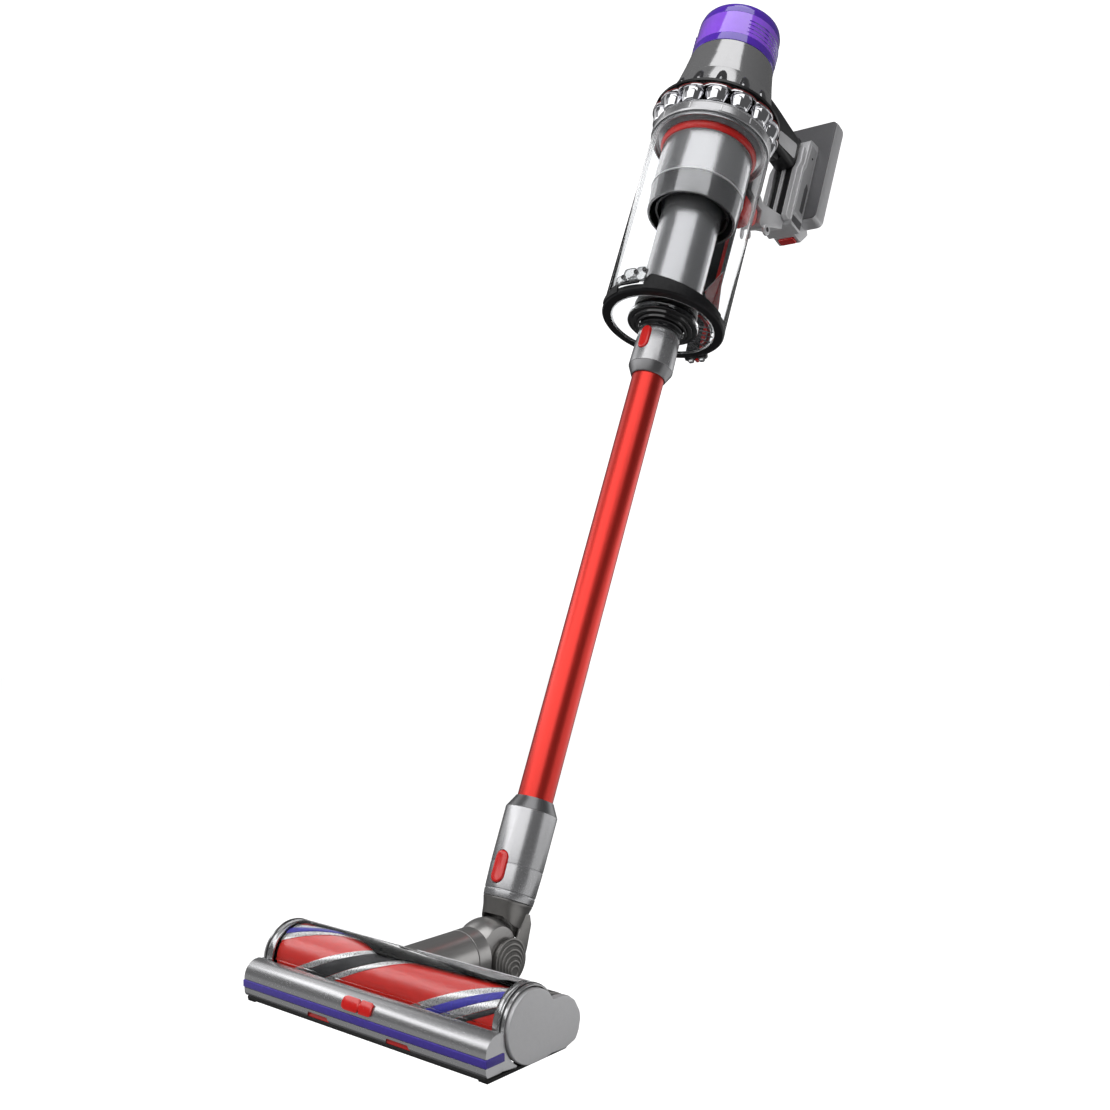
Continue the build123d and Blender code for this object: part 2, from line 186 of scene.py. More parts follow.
def stadium(w, h, cx, cz, n=12):
    pts = []
    for k in range(n + 1):
        t = math.pi * k / n
        pts.append((cx + w / 2 * math.cos(t), cz + h / 2 - w / 2 + w / 2 * math.sin(t)))
    for k in range(n + 1):
        t = math.pi + math.pi * k / n
        pts.append((cx + w / 2 * math.cos(t), cz - h / 2 + w / 2 + w / 2 * math.sin(t)))
    return pts


def add_bm(bm, b2, M=None):
    """moves one mesh into another"""
    me = bpy.data.meshes.new("tmp")
    b2.to_mesh(me)
    b2.free()
    if M is not None:
        me.transform(M)
    bm.from_mesh(me)
    bpy.data.meshes.remove(me)


def moved(bm, v):
    for q in bm.verts:
        q.co += Vector(v)
    return bm


def sweep_bm(secs, ring=True, bm=None):
    """skins closed sections; ring joins the last one to the first"""
    bm = bm or bmesh.new()
    vs = [[bm.verts.new(p) for p in sc] for sc in secs]
    n = len(vs[0])
    pairs = list(zip(vs, vs[1:])) + ([(vs[-1], vs[0])] if ring else [])
    for A, B in pairs:
        for k in range(n):
            bm.faces.new([A[k], A[(k + 1) % n], B[(k + 1) % n], B[k]])
    if not ring:
        bm.faces.new(vs[0])
        bm.faces.new(vs[-1])
    return bm


def arc_bm(a0, a1, prof, n=40, bm=None):
    """part of a turned shape; prof gives (radius, height) points for each fraction q of the arc"""
    secs = []
    for i in range(n + 1):
        q = i / n
        t = math.radians(a0 + (a1 - a0) * q)
        secs.append([(r * math.cos(t), r * math.sin(t), z) for r, z in prof(q)])
    return sweep_bm(secs, False, bm)


def cut(ob, cutter_bm, M, op="DIFFERENCE"):
    """subtracts a closed mesh from a piece, or adds it, and keeps the result as plain mesh"""
    bmesh.ops.recalc_face_normals(cutter_bm, faces=cutter_bm.faces)
    for v in cutter_bm.verts:
        v.co = M @ (v.co * .001)
    me = bpy.data.meshes.new("cutter")
    cutter_bm.to_mesh(me)
    cutter_bm.free()
    co = bpy.data.objects.new("cutter", me)
    scene.collection.objects.link(co)
    md = ob.modifiers.new("cut", "BOOLEAN")
    md.operation = op
    md.solver = "EXACT"
    md.object = co
    dg = bpy.context.evaluated_depsgraph_get()
    new = bpy.data.meshes.new_from_object(ob.evaluated_get(dg))
    ob.modifiers.clear()
    old = ob.data
    ob.data = new
    bpy.data.meshes.remove(old)
    bpy.data.objects.remove(co)
    bpy.data.meshes.remove(me)
    new.shade_smooth()
    new.set_sharp_from_angle(angle=math.radians(32))


# ------------------------------------------------------------------ materials
def mat(name, base, metallic=0.0, rough=.4, var=.08, vscale=35, rvar=.07, rscale=90, bump=.06, bscale=900, bdist=.0002,
        coat=0, coatr=.06, trans=0, ior=1.46, sheen=0, stretch=None, flake=0, spec=.5, uv=False, sss=0, aniso=0, alpha=1):
    m = bpy.data.materials.new(name)
    m.use_nodes = True
    nt = m.node_tree
    N, Lk = nt.nodes, nt.links
    bs = N["Principled BSDF"]
    bs.inputs["Metallic"].default_value = metallic
    bs.inputs["IOR"].default_value = ior
    bs.inputs["Transmission Weight"].default_value = trans
    bs.inputs["Coat Weight"].default_value = coat
    bs.inputs["Coat Roughness"].default_value = coatr
    bs.inputs["Sheen Weight"].default_value = sheen
    bs.inputs["Specular IOR Level"].default_value = spec
    bs.inputs["Anisotropic"].default_value = aniso
    bs.inputs["Alpha"].default_value = alpha
    if sss:
        bs.inputs["Subsurface Weight"].default_value = sss
        bs.inputs["Subsurface Radius"].default_value = (.004, .002, .006)
    tc = N.new("ShaderNodeTexCoord")
    mp = N.new("ShaderNodeMapping")
    Lk.new(tc.outputs["UV" if uv else "Object"], mp.inputs["Vector"])
    if stretch:
        mp.inputs["Scale"].default_value = stretch
    n1 = N.new("ShaderNodeTexNoise")
    n1.inputs["Scale"].default_value = vscale
    n1.inputs["Detail"].default_value = 5
    Lk.new(mp.outputs[0], n1.inputs["Vector"])
    ramp = N.new("ShaderNodeValToRGB")
    ramp.color_ramp.elements[0].position = .3
    ramp.color_ramp.elements[1].position = .7
    ramp.color_ramp.elements[0].color = (*[max(0, c * (1 - var)) for c in base], 1)
    ramp.color_ramp.elements[1].color = (*[min(1, c * (1 + var)) for c in base], 1)
    Lk.new(n1.outputs["Fac"], ramp.inputs["Fac"])
    col = ramp.outputs["Color"]
    if flake:
        vo = N.new("ShaderNodeTexVoronoi")
        vo.inputs["Scale"].default_value = 2600
        Lk.new(tc.outputs["Object"], vo.inputs["Vector"])
        sep = N.new("ShaderNodeSeparateColor")
        Lk.new(vo.outputs["Color"], sep.inputs["Color"])
        mr = N.new("ShaderNodeMapRange")
        mr.inputs["To Min"].default_value = 1 - flake
        mr.inputs["To Max"].default_value = 1 + flake
        Lk.new(sep.outputs["Red"], mr.inputs["Value"])
        mx = N.new("ShaderNodeMix")
        mx.data_type = "RGBA"
        mx.blend_type = "MULTIPLY"
        mx.inputs["Factor"].default_value = 1
        Lk.new(col, mx.inputs["A"])
        Lk.new(mr.outputs[0], mx.inputs["B"])
        col = mx.outputs["Result"]
    Lk.new(col, bs.inputs["Base Color"])
    n2 = N.new("ShaderNodeTexNoise")
    n2.inputs["Scale"].default_value = rscale
    n2.inputs["Detail"].default_value = 4
    Lk.new(mp.outputs[0], n2.inputs["Vector"])
    r2 = N.new("ShaderNodeMapRange")
    r2.inputs["From Min"].default_value = .3
    r2.inputs["From Max"].default_value = .7
    r2.inputs["To Min"].default_value = max(.01, rough - rvar)
    r2.inputs["To Max"].default_value = min(1, rough + rvar)
    Lk.new(n2.outputs["Fac"], r2.inputs["Value"])
    Lk.new(r2.outputs[0], bs.inputs["Roughness"])
    if bump:
        n3 = N.new("ShaderNodeTexNoise")
        n3.inputs["Scale"].default_value = bscale
        n3.inputs["Detail"].default_value = 3
        Lk.new(mp.outputs[0], n3.inputs["Vector"])
        bp = N.new("ShaderNodeBump")
        bp.inputs["Strength"].default_value = bump
        bp.inputs["Distance"].default_value = bdist
        Lk.new(n3.outputs["Fac"], bp.inputs["Height"])
        Lk.new(bp.outputs[0], bs.inputs["Normal"])
    return m


RED_ANOD = mat("red_anodised", (.66, .030, .020), metallic=.9, rough=.36, var=.05, vscale=1, rvar=.03, rscale=1, bump=.03, bscale=1, bdist=.00003, stretch=(1.6, .012, 1), uv=True, coat=.4, coatr=.32)
FINE = dict(var=.015, vscale=200, flake=.035, rvar=.015, rscale=900, bump=.02, bscale=2600, bdist=.00003)
NICKEL = mat("nickel_spray", (.44, .44, .45), metallic=.80, rough=.26, **FINE)
NICKEL_LT = mat("nickel_spray_light", (.70, .70, .71), metallic=.38, rough=.34, **FINE)
# dark nickel paint; on the elbow yoke and discs its darkness is painted shade
NICKEL_DARK_AND_SHADE = mat("nickel_dark_paint_and_painted_shade", (.25, .243, .235), metallic=.80, rough=.32, **FINE)
# darker copy of the nickel paint, used on the collar tapers as painted shade
NICKEL_TAPER_SHADE = mat("nickel_taper_painted_shade", (.19, .19, .195), metallic=.80, rough=.30, **FINE)
NICKEL_MID = mat("nickel_spray_mid", (.40, .392, .385), metallic=.80, rough=.30, **FINE)
HOUSE = mat("nickel_gloss", (.42, .42, .425), metallic=.74, rough=.13, **FINE)
SHADE = mat("nickel_shade", (.27, .27, .275), metallic=.74, rough=.15, **FINE)
SATIN = mat("satin_grey", (.54, .54, .55), metallic=.45, rough=.45, **FINE)
SATIN_DK = mat("satin_grey_dark", (.125, .125, .13), metallic=.4, rough=.42, **FINE)
BLACK = mat("black_plastic", (.012, .012, .013), rough=.34, var=.25, vscale=200, rvar=.06, rscale=500, bump=.10, bscale=1800, bdist=.00006)
MATTBLACK = mat("black_matt", (.010, .010, .011), rough=.42, spec=.2, var=.25, vscale=200, rvar=.06, rscale=500, bump=.08, bscale=1800, bdist=.00006)
GLOSSBLACK = mat("gloss_black", (.008, .008, .009), rough=.14, var=.3, vscale=150, rvar=.04, rscale=500, coat=.5, bump=.02, bscale=900, bdist=.00004)
CHROME = mat("bright_chrome", (.62, .62, .64), metallic=1, rough=.05, var=.03, rvar=.015, rscale=500, bump=.01, bscale=700, bdist=.00003)
CHROME_DK = mat("black_chrome", (.30, .30, .31), metallic=1, rough=.07, var=.05, rvar=.02, rscale=500, bump=.01, bscale=700, bdist=.00003)
CLEAR = mat("clear_polycarbonate", (.965, .97, .975), rough=.03, var=.01, rvar=.015, trans=1, ior=1.07, bump=.01, bscale=60)
CLEAR_RIB = mat("clear_rib", (.80, .81, .82), rough=.08, var=.03, rvar=.03, trans=.85, ior=1.40, bump=.02, bscale=120)
SMOKE = mat("smoked_clear", (.035, .035, .038), rough=.10, var=.2, rvar=.04, coat=.5, bump=.02, bscale=200)
RED_SMOKE = mat("smoked_red", (.20, .014, .014), rough=.18, var=.15, rvar=.04, coat=.3, bump=.02, bscale=300)
VIOLET = mat("violet_translucent", (.30, .095, .86), rough=.10, var=.04, vscale=120, rvar=.03, rscale=400, coat=1, coatr=.04, spec=.9, sss=.12, bump=.02, bscale=700, bdist=.00005)
VIOLET_DK = mat("violet_deep", (.085, .016, .46), rough=.12, var=.05, vscale=120, rvar=.03, rscale=400, coat=1, coatr=.04, spec=.8, bump=.02, bscale=700, bdist=.00005)
STRIPE = mat("violet_bumper", (.055, .030, .36), rough=.55, var=.10, vscale=300, rvar=.06, rscale=500, sheen=.2, bump=.2, bscale=1600, bdist=.0001)
RED = mat("red_plastic", (.70, .012, .010), rough=.24, var=.05, vscale=200, rvar=.04, rscale=500, coat=.35, bump=.03, bscale=1200, bdist=.00006)
REDRUB = mat("red_rubber", (.62, .014, .010), rough=.34, var=.06, vscale=200, rvar=.05, rscale=500, bump=.06, bscale=1200, bdist=.00008)
WIPER = mat("black_wiper", (.012, .012, .012), rough=.9, spec=0, var=.3, vscale=600, rvar=.05, bump=.3, bscale=1500, bdist=.0002, stretch=(1, .2, .2))
RUBBER = mat("black_rubber", (.016, .016, .016), rough=.72, var=.2, rvar=.08, bump=.3, bscale=1200, bdist=.0001)
STEEL = mat("machined_steel", (.55, .55, .56), metallic=1, rough=.30, var=.06, rvar=.08, bump=.08, bscale=800, stretch=(1, 1, 6), bdist=.00005)
PILE = mat("red_pile", (.72, .024, .016), rough=.34, var=.08, vscale=420, rvar=.04, rscale=600, sheen=.05, spec=.7, coat=.7, coatr=.26, bump=.1, bscale=1900, bdist=.0003, stretch=(.25, 1, 1))
FELT = mat("carbon_felt", (.022, .022, .024), rough=.60, var=.5, vscale=700, rvar=.1, sheen=.3, bump=.6, bscale=1400, bdist=.0004, stretch=(.3, 1, 1))
BRISTLE = mat("blue_bristle", (.045, .038, .42), rough=.5, var=.30, vscale=900, rvar=.1, sheen=.3, bump=.6, bscale=1700, bdist=.0004, stretch=(1, .3, .3))
EDGE = mat("strip_edging", (.62, .62, .62), rough=.28, var=.04, vscale=500, rvar=.04, rscale=700, metallic=.6, bump=.05, bscale=1500, bdist=.0002)
PAPER = mat("filter_paper", (.80, .80, .78), rough=.9, var=.06, bump=.4, bscale=900, bdist=.0002)
SCREEN = mat("screen_lens", (.006, .006, .008), rough=.06, var=.2, rvar=.03, coat=.8, bump=.01, bscale=200)


def mesh_material():
    """silver shroud: a fine staggered grid of round holes on the turned surface"""
    m = mat("etched_mesh", (.50, .50, .51), metallic=.74, rough=.20, var=.03, rvar=.03, rscale=600, bump=0)
    nt = m.node_tree
    N, Lk = nt.nodes, nt.links
    bs = N["Principled BSDF"]
    tc = N.new("ShaderNodeTexCoord")
    vo = N.new("ShaderNodeTexVoronoi")
    vo.inputs["Scale"].default_value = .9
    vo.inputs["Randomness"].default_value = .15
    Lk.new(tc.outputs["UV"], vo.inputs["Vector"])
    rp = N.new("ShaderNodeValToRGB")
    rp.color_ramp.elements[0].position = .26
    rp.color_ramp.elements[1].position = .36
    rp.color_ramp.elements[0].color = (.36, .36, .37, 1)
    rp.color_ramp.elements[1].color = (.56, .56, .57, 1)
    Lk.new(vo.outputs["Distance"], rp.inputs["Fac"])
    Lk.new(rp.outputs["Color"], bs.inputs["Base Color"])
    bp = N.new("ShaderNodeBump")
    bp.inputs["Strength"].default_value = .18
    bp.inputs["Distance"].default_value = .0002
    Lk.new(vo.outputs["Distance"], bp.inputs["Height"])
    Lk.new(bp.outputs[0], bs.inputs["Normal"])
    return m


MESH = mesh_material()

# every CAD node that stays visible gets one of these
CAD_MATS = {
    "sole_plate": BLACK, "sole_screws": STEEL, "glide_pads": RUBBER, "roller_hubs": BLACK, "roller_motor": STEEL,
    "wheel_axles": STEEL, "wand_spigot": BLACK, "motor": STEEL, "impeller": BLACK, "inner_frame": BLACK,
    "filter_pleats": PAPER, "cover_wiper": RUBBER, "gate_strip": RED, "elbow_ball": NICKEL_DARK_AND_SHADE, "bin_hinge": BLACK,
}
for nm, ob in nodes_cad.items():
    mm = CAD_MATS.get(nm, NICKEL)
    for sl in ob.material_slots:
        sl.material = mm
    if not ob.material_slots:
        ob.data.materials.append(mm)

# ------------------------------------------------------------------ wand and collars
lathe("wand", [(19, 98), (19, 664), (17.2, 664), (17.2, 98)], RED_ANOD, "wand", ("wand_tube",), r=.5, n=128)


def button(name, w, h, zc, rf, rin, mt, body, repl, groove=True):
    """domed stadium key on the front of a collar"""
    bm = bmesh.new()
    rings = []
    for ins, rr in ((0, rin), (0, rf - 1.6), (.35, rf - .7), (1.0, rf - .15), (2.2, rf), (w * .36, rf - .35 if groove else rf + .1)):
        ring = []
        for x, z in stadium(w - 2 * ins, h - 2 * ins, 0, zc):
            ring.append(bm.verts.new((x, -math.sqrt(max(1, rr * rr - x * x)), z)))
        rings.append(ring)
    n = len(rings[0])
    for A, B in zip(rings, rings[1:]):
        for k in range(n):
            bm.faces.new([A[k], A[(k + 1) % n], B[(k + 1) % n], B[k]])
    bm.faces.new(rings[-1])
    bm.faces.new(rings[0])
    bmesh.ops.remove_doubles(bm, verts=bm.verts, dist=1e-4)
    return finish_mesh(name, bm, WAND, mt, body, repl, 40)


lc = lathe("collar_lower", [(17.5, 46), (25.9, 46), (26.4, 52.4), (25.9, 53.0, .2), (25.9, 53.8, .2), (26.5, 54.4, .2), (27.4, 79.5, .15), (26.7, 79.7, .1), (26.7, 80.5, .1), (27.4, 80.7, .15),
                            (27.6, 137.3, .3), (19.35, 137.3, 0), (19.35, 97.5, 0), (17.5, 97.5, 0)], NICKEL, "connector", ("lower_collar",), r=.6, n=128)
# the tapers at either end of the collars are drawn darker than the collars: painted shade
lathe("collar_lower_top", [(19.35, 137.4), (27.5, 137.4, .4), (20.9, 149.2, .5), (20.4, 150.5, .3), (19.35, 150.5, .2)], NICKEL_TAPER_SHADE, "connector", n=128)
cut(lc, prism_bm(stadium(17, 34, 0, 74.8), -40, -18.4, 0, "y"), WAND)
button("button_lower", 16, 33, 74.8, 28.7, 23.3, RED, "lower_key", ("lower_button",))

lathe("collar_upper_foot", [(19.0, 655), (20.2, 655, .3), (20.9, 656.2, .4), (26.3, 667.3, .4), (16, 667.3, 0), (16, 664, 0), (19.0, 664, 0)], NICKEL_TAPER_SHADE, "wand", n=128)
uc = lathe("collar_upper", [(16, 667.4), (26.4, 667.4, .4), (25.5, 708, .4), (25.0, 711.5, .8), (24.0, 713, .6), (16, 713)], NICKEL, "wand", ("upper_collar",), n=128)
cut(uc, prism_bm(stadium(14.4, 30.6, 0, 697.2), -40, -17.0, 0, "y"), WAND)
button("button_upper", 13.6, 29.6, 697.2, 27.8, 21.7, RED, "upper_key", ("upper_button",))

# ------------------------------------------------------------------ elbow
def ball_bm(R, half, cy, cz, n=112):
    pr = [(math.sqrt(R * R - x * x), x) for x in [-half + 2 * half * k / 40 for k in range(41)]]
    pr = [(.0, -half), (8, -half)] + pr + [(8, half), (.0, half)]
    return moved(lathe_bm(rnd(pr, .8, 3, False), n, "x", False), (0, cy, cz))


shell = finish_mesh("elbow_shell", ball_bm(30.5, 18.6, 116, 42.5), WORLD, NICKEL_MID, "neck", ("elbow_ball",), 32)
cut(shell, ball_bm(25.5, 18.5, 128, 34), WORLD, "UNION")
cut(shell, prism_bm(boxpts(60, 92.5, 0, 90), -40, 40, 0, "x"), WORLD)
ring_prof = [(23.2, 79.6), (27.1, 79.6, .5), (27.2, 95.4, .4), (26.3, 97.0, .5), (23.9, 92.8, .3), (20.2, 92.8), (20.2, 91.6), (23.2, 91.6)]
finish_mesh("neck_ring", moved(lathe_bm(rnd(ring_prof, .3), 112, "y"), (0, 0, 41)), WORLD, NICKEL_MID, "neck", ("neck_sleeve",), 32)
tube_prof = [(20, 7), (27.0, 7, .1), (27.0, 78.6, .5), (26.5, 79.2, .3), (23, 79.2, .2), (23, 91.0, .4), (20, 91.0)]
nt_ = finish_mesh("neck_tube", moved(lathe_bm(rnd(tube_prof, .3), 112, "y"), (0, 0, 41)), WORLD, NICKEL_MID, "head", ("neck_duct",), 32)
cut(nt_, moved(lathe_bm([(0, -60), (31.3, -60), (31.3, 60), (0, 60)], 160, "x", False), (0, 0, 36)), WORLD)

# yoke: a tapered cone with a tongue on either side, and an arm behind each disc
secs = []
NS = 96
for i in range(NS):
    t = 2 * math.pi * i / NS
    ct = abs(math.cos(t))
    st_ = math.sin(t)
    base = 28.8 if st_ < 0 else 28.8 - 14.8 * min(1, st_ / .5) ** 1.2
    zb = min(base, 28.8 - 6.5 * max(0, (ct - .60) / .40) ** 1.2)
    rb = 21.2 + .6 * ct
    prof = [(17.6, 45.9), (25.0, 45.9), (25.4, 45.3), (25.4, 44.2), (24.9, 42.8), (23.4, 37), (rb + .5, zb + 1.4), (rb, zb), (rb - 1.6, zb + .3), (18.9, zb + 3), (17.6, 34)]
    secs.append([(r_ * math.cos(t), r_ * math.sin(t), z_) for r_, z_ in prof])
bm = sweep_bm(secs, True)
for sx in (-1, 1):
    arm = [(22 * math.cos(math.radians(a_)), -10 + 22 * math.sin(math.radians(a_))) for a_ in range(140, 372, 8)]
    arm += [(21.4, 8), (18.5, 30), (13, 38), (6, 38), (4.5, 30), (3, 13), (-6, 10.5)]
    prism_bm(arm, *sorted((sx * 19.0, sx * 22.6)), .8, "x", 3, bm)
# the yoke takes the dark nickel as painted shade
finish_mesh("elbow_yoke", bm, WAND, NICKEL_DARK_AND_SHADE, "connector", ("elbow_fork",), 32)
bm = bmesh.new()
for sx in (-1, 1):
    for i, (rr, e) in enumerate(((22.4, 0), (19.4, 2.2), (16.2, 4.6), (13.0, 7.0), (9.8, 9.2), (6.6, 11.2))):
        x0 = 22.6 if i == 0 else 23.6 + .62 * (i - 1)
        x1 = 24.2 + .62 * i
        b2 = lathe_bm(rnd([(0, x0), (rr, x0, .1), (rr, x1, .55), (rr - 1.6, x1 + .12, .3), (rr - 3.0, x1 - .35, .3), (0, x1 - .35)], .2, 3, False), 72, "x", False)
        moved(b2, (0, .62 * e, -10 - .78 * e))
        if sx < 0:
            for v in b2.verts:
                v.co.x *= -1
        add_bm(bm, b2)
# the discs take the dark nickel as painted shade
finish_mesh("elbow_rings", bm, WAND, NICKEL_DARK_AND_SHADE, "connector", ("elbow_discs",), 40)

# ------------------------------------------------------------------ dust bin
lathe("bin_shell", [(74, 736.6), (74, 979), (74.0, 983.4), (71.8, 983.4), (71.6, 736.6)], CLEAR, "bin", ("bin_wall",), r=.5, n=160)
lathe("bin_rim", [(63.0, 727.8), (72.3, 727.8, 1.2), (74.3, 730, 1.2), (74.3, 735.8, .4), (72.6, 736.5, .2), (70.6, 736.5, .2), (66, 733.6, 2), (63.0, 732.6, .6)], MATTBLACK, "bin", ("bin_base_ring",), n=160)
bm = lathe_bm(rnd([(42.8, 729.4), (62.8, 729.8, .3), (62.8, 732.4, .3), (42.8, 732.4)], .3), 128)
finish_mesh("bin_door_plate", bm, WAND, CLEAR, "bin", ("bin_door",), 32)
lathe("inlet_gasket", [(27.8, 721.5), (30.6, 721.5, .5), (31.4, 725.4), (33.0, 725.8, .4), (33.6, 724.2, .4), (36.6, 724.2, .5), (37.4, 727.6), (39.6, 728.0, .4), (40.0, 726.8, .4), (42.4, 726.8, .6), (42.8, 734), (34.2, 736.0), (34.2, 731), (27.8, 729)], GLOSSBLACK, "bin", n=112, r=.3)
lathe("rim_lip", [(61.2, 728.2), (62.9, 727.9), (63.1, 730.4), (61.4, 730.6)], CLEAR_RIB, "bin", n=128, r=.3)
# dark ribs and the red arc in the door, on the hinge side
bm = bmesh.new()
for a_ in (18, 28, 38, 50, 62, 74, 106, 118, 130):
    b2 = prism_bm(rnd(boxpts(44, 61, 727.9, 729.3), .3), -.8, .8, .2, "y", 2)
    add_bm(bm, b2, Matrix.Rotation(math.radians(a_), 4, "Z"))
finish_mesh("door_ribs", bm, WAND, SATIN_DK, "bin", (), 32)
finish_mesh("door_red_arc", arc_bm(-8, 66, lambda q: [(54.5, 728.3), (58.0, 728.3), (58.0, 729.5), (54.5, 729.5)]), WAND, RED_SMOKE, "bin", (), 32)
# raised lip of the base ring, high beside the catch and running out along the side
def lip_prof(q):
    top = 751 - 14 * q ** .8
    top = 737 + (top - 737) * min(1, q / .06) ** .5
    return [(74.1, 729.5), (75.3, 730.2), (75.6, 733), (75.6, top - 1.2), (75.2, top), (74.1, top)]


def lip_prof2(q):
    top = 744 - 7.5 * q
    return [(74.1, 729.5), (75.3, 730.2), (75.6, 733), (75.6, top - 1.0), (75.2, top), (74.1, top)]


finish_mesh("base_lip", arc_bm(-76, 6, lip_prof, 100), WAND, MATTBLACK, "bin", (), 32)
finish_mesh("base_lip_left", arc_bm(-104, -132, lip_prof2, 24), WAND, MATTBLACK, "bin", (), 32)
# catch: clear lumps on a dark seat
bm = bmesh.new()
for a_, w_, z0, z1, r1 in ((-101, 7.5, 737.2, 750, 78.6), (-91, 8.5, 741, 756, 79.8), (-80, 7.0, 738.5, 757.5, 78.6), (-86, 5, 737, 744, 80.2)):
    b2 = prism_bm(rnd(boxpts(-w_, w_, z0, z1), 4.5, 6), 73.4, r1, 1.9, "y", 4)
    add_bm(bm, b2, Matrix.Rotation(math.radians(a_ - 90), 4, "Z"))
finish_mesh("bin_catch_block", bm, WAND, CLEAR_RIB, "bin", ("bin_catch",), 40)
bm = bmesh.new()
for a_, z_ in ((-97, 745.5), (-84.5, 749.5), (-77, 752)):
    b2 = moved(lathe_bm(rnd([(0, 74.2), (2.6, 74.2, .3), (2.6, 80.6, .7), (0, 80.9)], .3, 3, False), 28, "y", False), (0, 0, z_))
    add_bm(bm, b2, Matrix.Rotation(math.radians(a_ - 90), 4, "Z"))
b2 = prism_bm(rnd(boxpts(-13, 13, 736.6, 740.5), 1.4), 73.9, 77.4, .8, "y", 3)
add_bm(bm, b2, Matrix.Rotation(math.radians(-90 - 90), 4, "Z"))
finish_mesh("catch_pins", bm, WAND, GLOSSBLACK, "bin", (), 32)
bm = prism_bm(rnd(boxpts(74.4, 81.5, 728.4, 737.5), 2.4), -14, 14, 1.0, "x")
prism_bm([(77.9 + 3.6 * math.cos(k * math.pi / 12), 732 + 3.6 * math.sin(k * math.pi / 12)) for k in range(24)], -15, 15, .6, "x", 2, bm)
finish_mesh("bin_hinge_block", bm, WAND, GLOSSBLACK, "bin", ("bin_hinge",), 32)
bm = bmesh.new()
for x_ in (-6, 9.5):
    add_bm(bm, prism_bm(rnd(boxpts(x_ - 3.4, x_ + 3.4, 724.6, 729.6), 1.6), 75.5, 80.6, 1.2, "y", 3))
finish_mesh("hinge_lumps", bm, WAND, CLEAR_RIB, "bin", (), 32)
finish_mesh("hinge_dot", prism_bm(rnd(boxpts(.6, 4.6, 725.2, 729), 1.0), 75.8, 80.8, .7, "y", 3), WAND, RED, "bin", (), 32)
# spine down the back of the wall, with a red and a grey strip, and the red deflector inside
finish_mesh("bin_spine", prism_bm(rnd([(-15.5, 73.0), (3.4, 74.2), (3.4, 78.4), (-12, 78.4)], .8), 737, 974, .8, "z"), WAND, BLACK, "bin", (), 32)
finish_mesh("bin_spine_red", prism_bm(rnd([(3.5, 74.2), (9, 74.0), (9, 77.8), (3.5, 78.2)], .5), 738, 972, .6, "z"), WAND, REDRUB, "bin", (), 32)
finish_mesh("bin_spine_grey", prism_bm(rnd([(9.1, 74.0), (15.6, 73.0), (14, 77.8), (9.1, 77.8)], .6), 737, 974, .8, "z"), WAND, SATIN_DK, "bin", (), 32)
dfl = [(18.0, 67.0, 847), (4, 58, 815), (14, 65.8, 792), (31, 61.5, 781)]
finish_mesh("deflector", sweep_bm([[(x_, d_ - .6, z_) for x_, d_, z_ in dfl], [(x_, d_ + .6, z_) for x_, d_, z_ in dfl]], False), WAND, RED_SMOKE, "bin", (), 32)
e0, e1 = Vector(dfl[0]), Vector(dfl[1])
sid = Vector((.3, -.8, .5)).normalized() * .7
upv = (e1 - e0).normalized().cross(sid).normalized() * .7
finish_mesh("deflector_edge", sweep_bm([[tuple(p_ + sid), tuple(p_ + upv), tuple(p_ - sid), tuple(p_ - upv)] for p_ in (e0, e1)], False), WAND, NICKEL_LT, "bin", (), 32)
# moulded lines down the clear wall
bm = bmesh.new()
for a_, w_ in ((-128, 1.0), (-121, .6), (-117, .6), (30, 1.0), (36, .6)):
    b2 = prism_bm(rnd(boxpts(-w_ / 2, w_ / 2, 70.9, 71.7), .15), 738, 978, .2, "z", 2)
    add_bm(bm, b2, Matrix.Rotation(math.radians(a_ - 90), 4, "Z"))
finish_mesh("wall_lines", bm, WAND, CLEAR_RIB, "bin", (), 32)

# ------------------------------------------------------------------ inside the bin
lathe("duct", [(21.9, 714), (25.2, 714, .5), (25.2, 738.5), (37, 747, 3), (37, 905), (34.4, 905), (34.4, 748), (21.9, 742)], NICKEL, "hand_unit", ("inlet_duct",), n=128)
lathe("duct_seat", [(26.6, 734.0), (38.6, 741.6, .4), (38.6, 749.0, .4), (37.1, 749.4), (37.1, 746.6), (25.4, 738.0), (25.4, 734.0)], MATTBLACK, "hand_unit", n=112, r=.2)
lathe("duct_foot", [(25.25, 713.6), (26.4, 713.6, .3), (26.4, 716.4, .2), (25.8, 716.8, .2), (25.8, 719.4, .2), (26.4, 719.8, .2), (26.4, 731), (25.25, 733)], GLOSSBLACK, "hand_unit", n=112, r=.3)
lathe("skirt", [(52.6, 880.2), (55.2, 880.2, .8), (57.2, 910.5, .3), (57.2, 913, .2), (53, 913)], SHADE, "hand_unit", ("shroud_skirt",), n=128, r=.4)
lathe("skirt_inside", [(52.5, 880.5), (52.9, 907), (37.1, 908), (37.1, 904), (49.5, 903), (51.7, 880.5)], MATTBLACK, "hand_unit", n=128, r=.2)
lathe("shroud", [(57, 913.1), (57, 972), (55.4, 972), (55.4, 913.1)], MESH, "hand_unit", ("shroud_mesh",), n=160, r=.1)
lathe("shroud_band", [(57.1, 911.6), (57.9, 912.0), (57.9, 913.6), (57.1, 914.0)], NICKEL_LT, "hand_unit", n=128, r=.3)
lathe("seal", [(44, 972), (57.6, 972, .4), (59.3, 974.4), (60.4, 977.2, .8), (59.3, 980.8), (44, 980.8)], REDRUB, "hand_unit", ("bin_seal",), n=128)
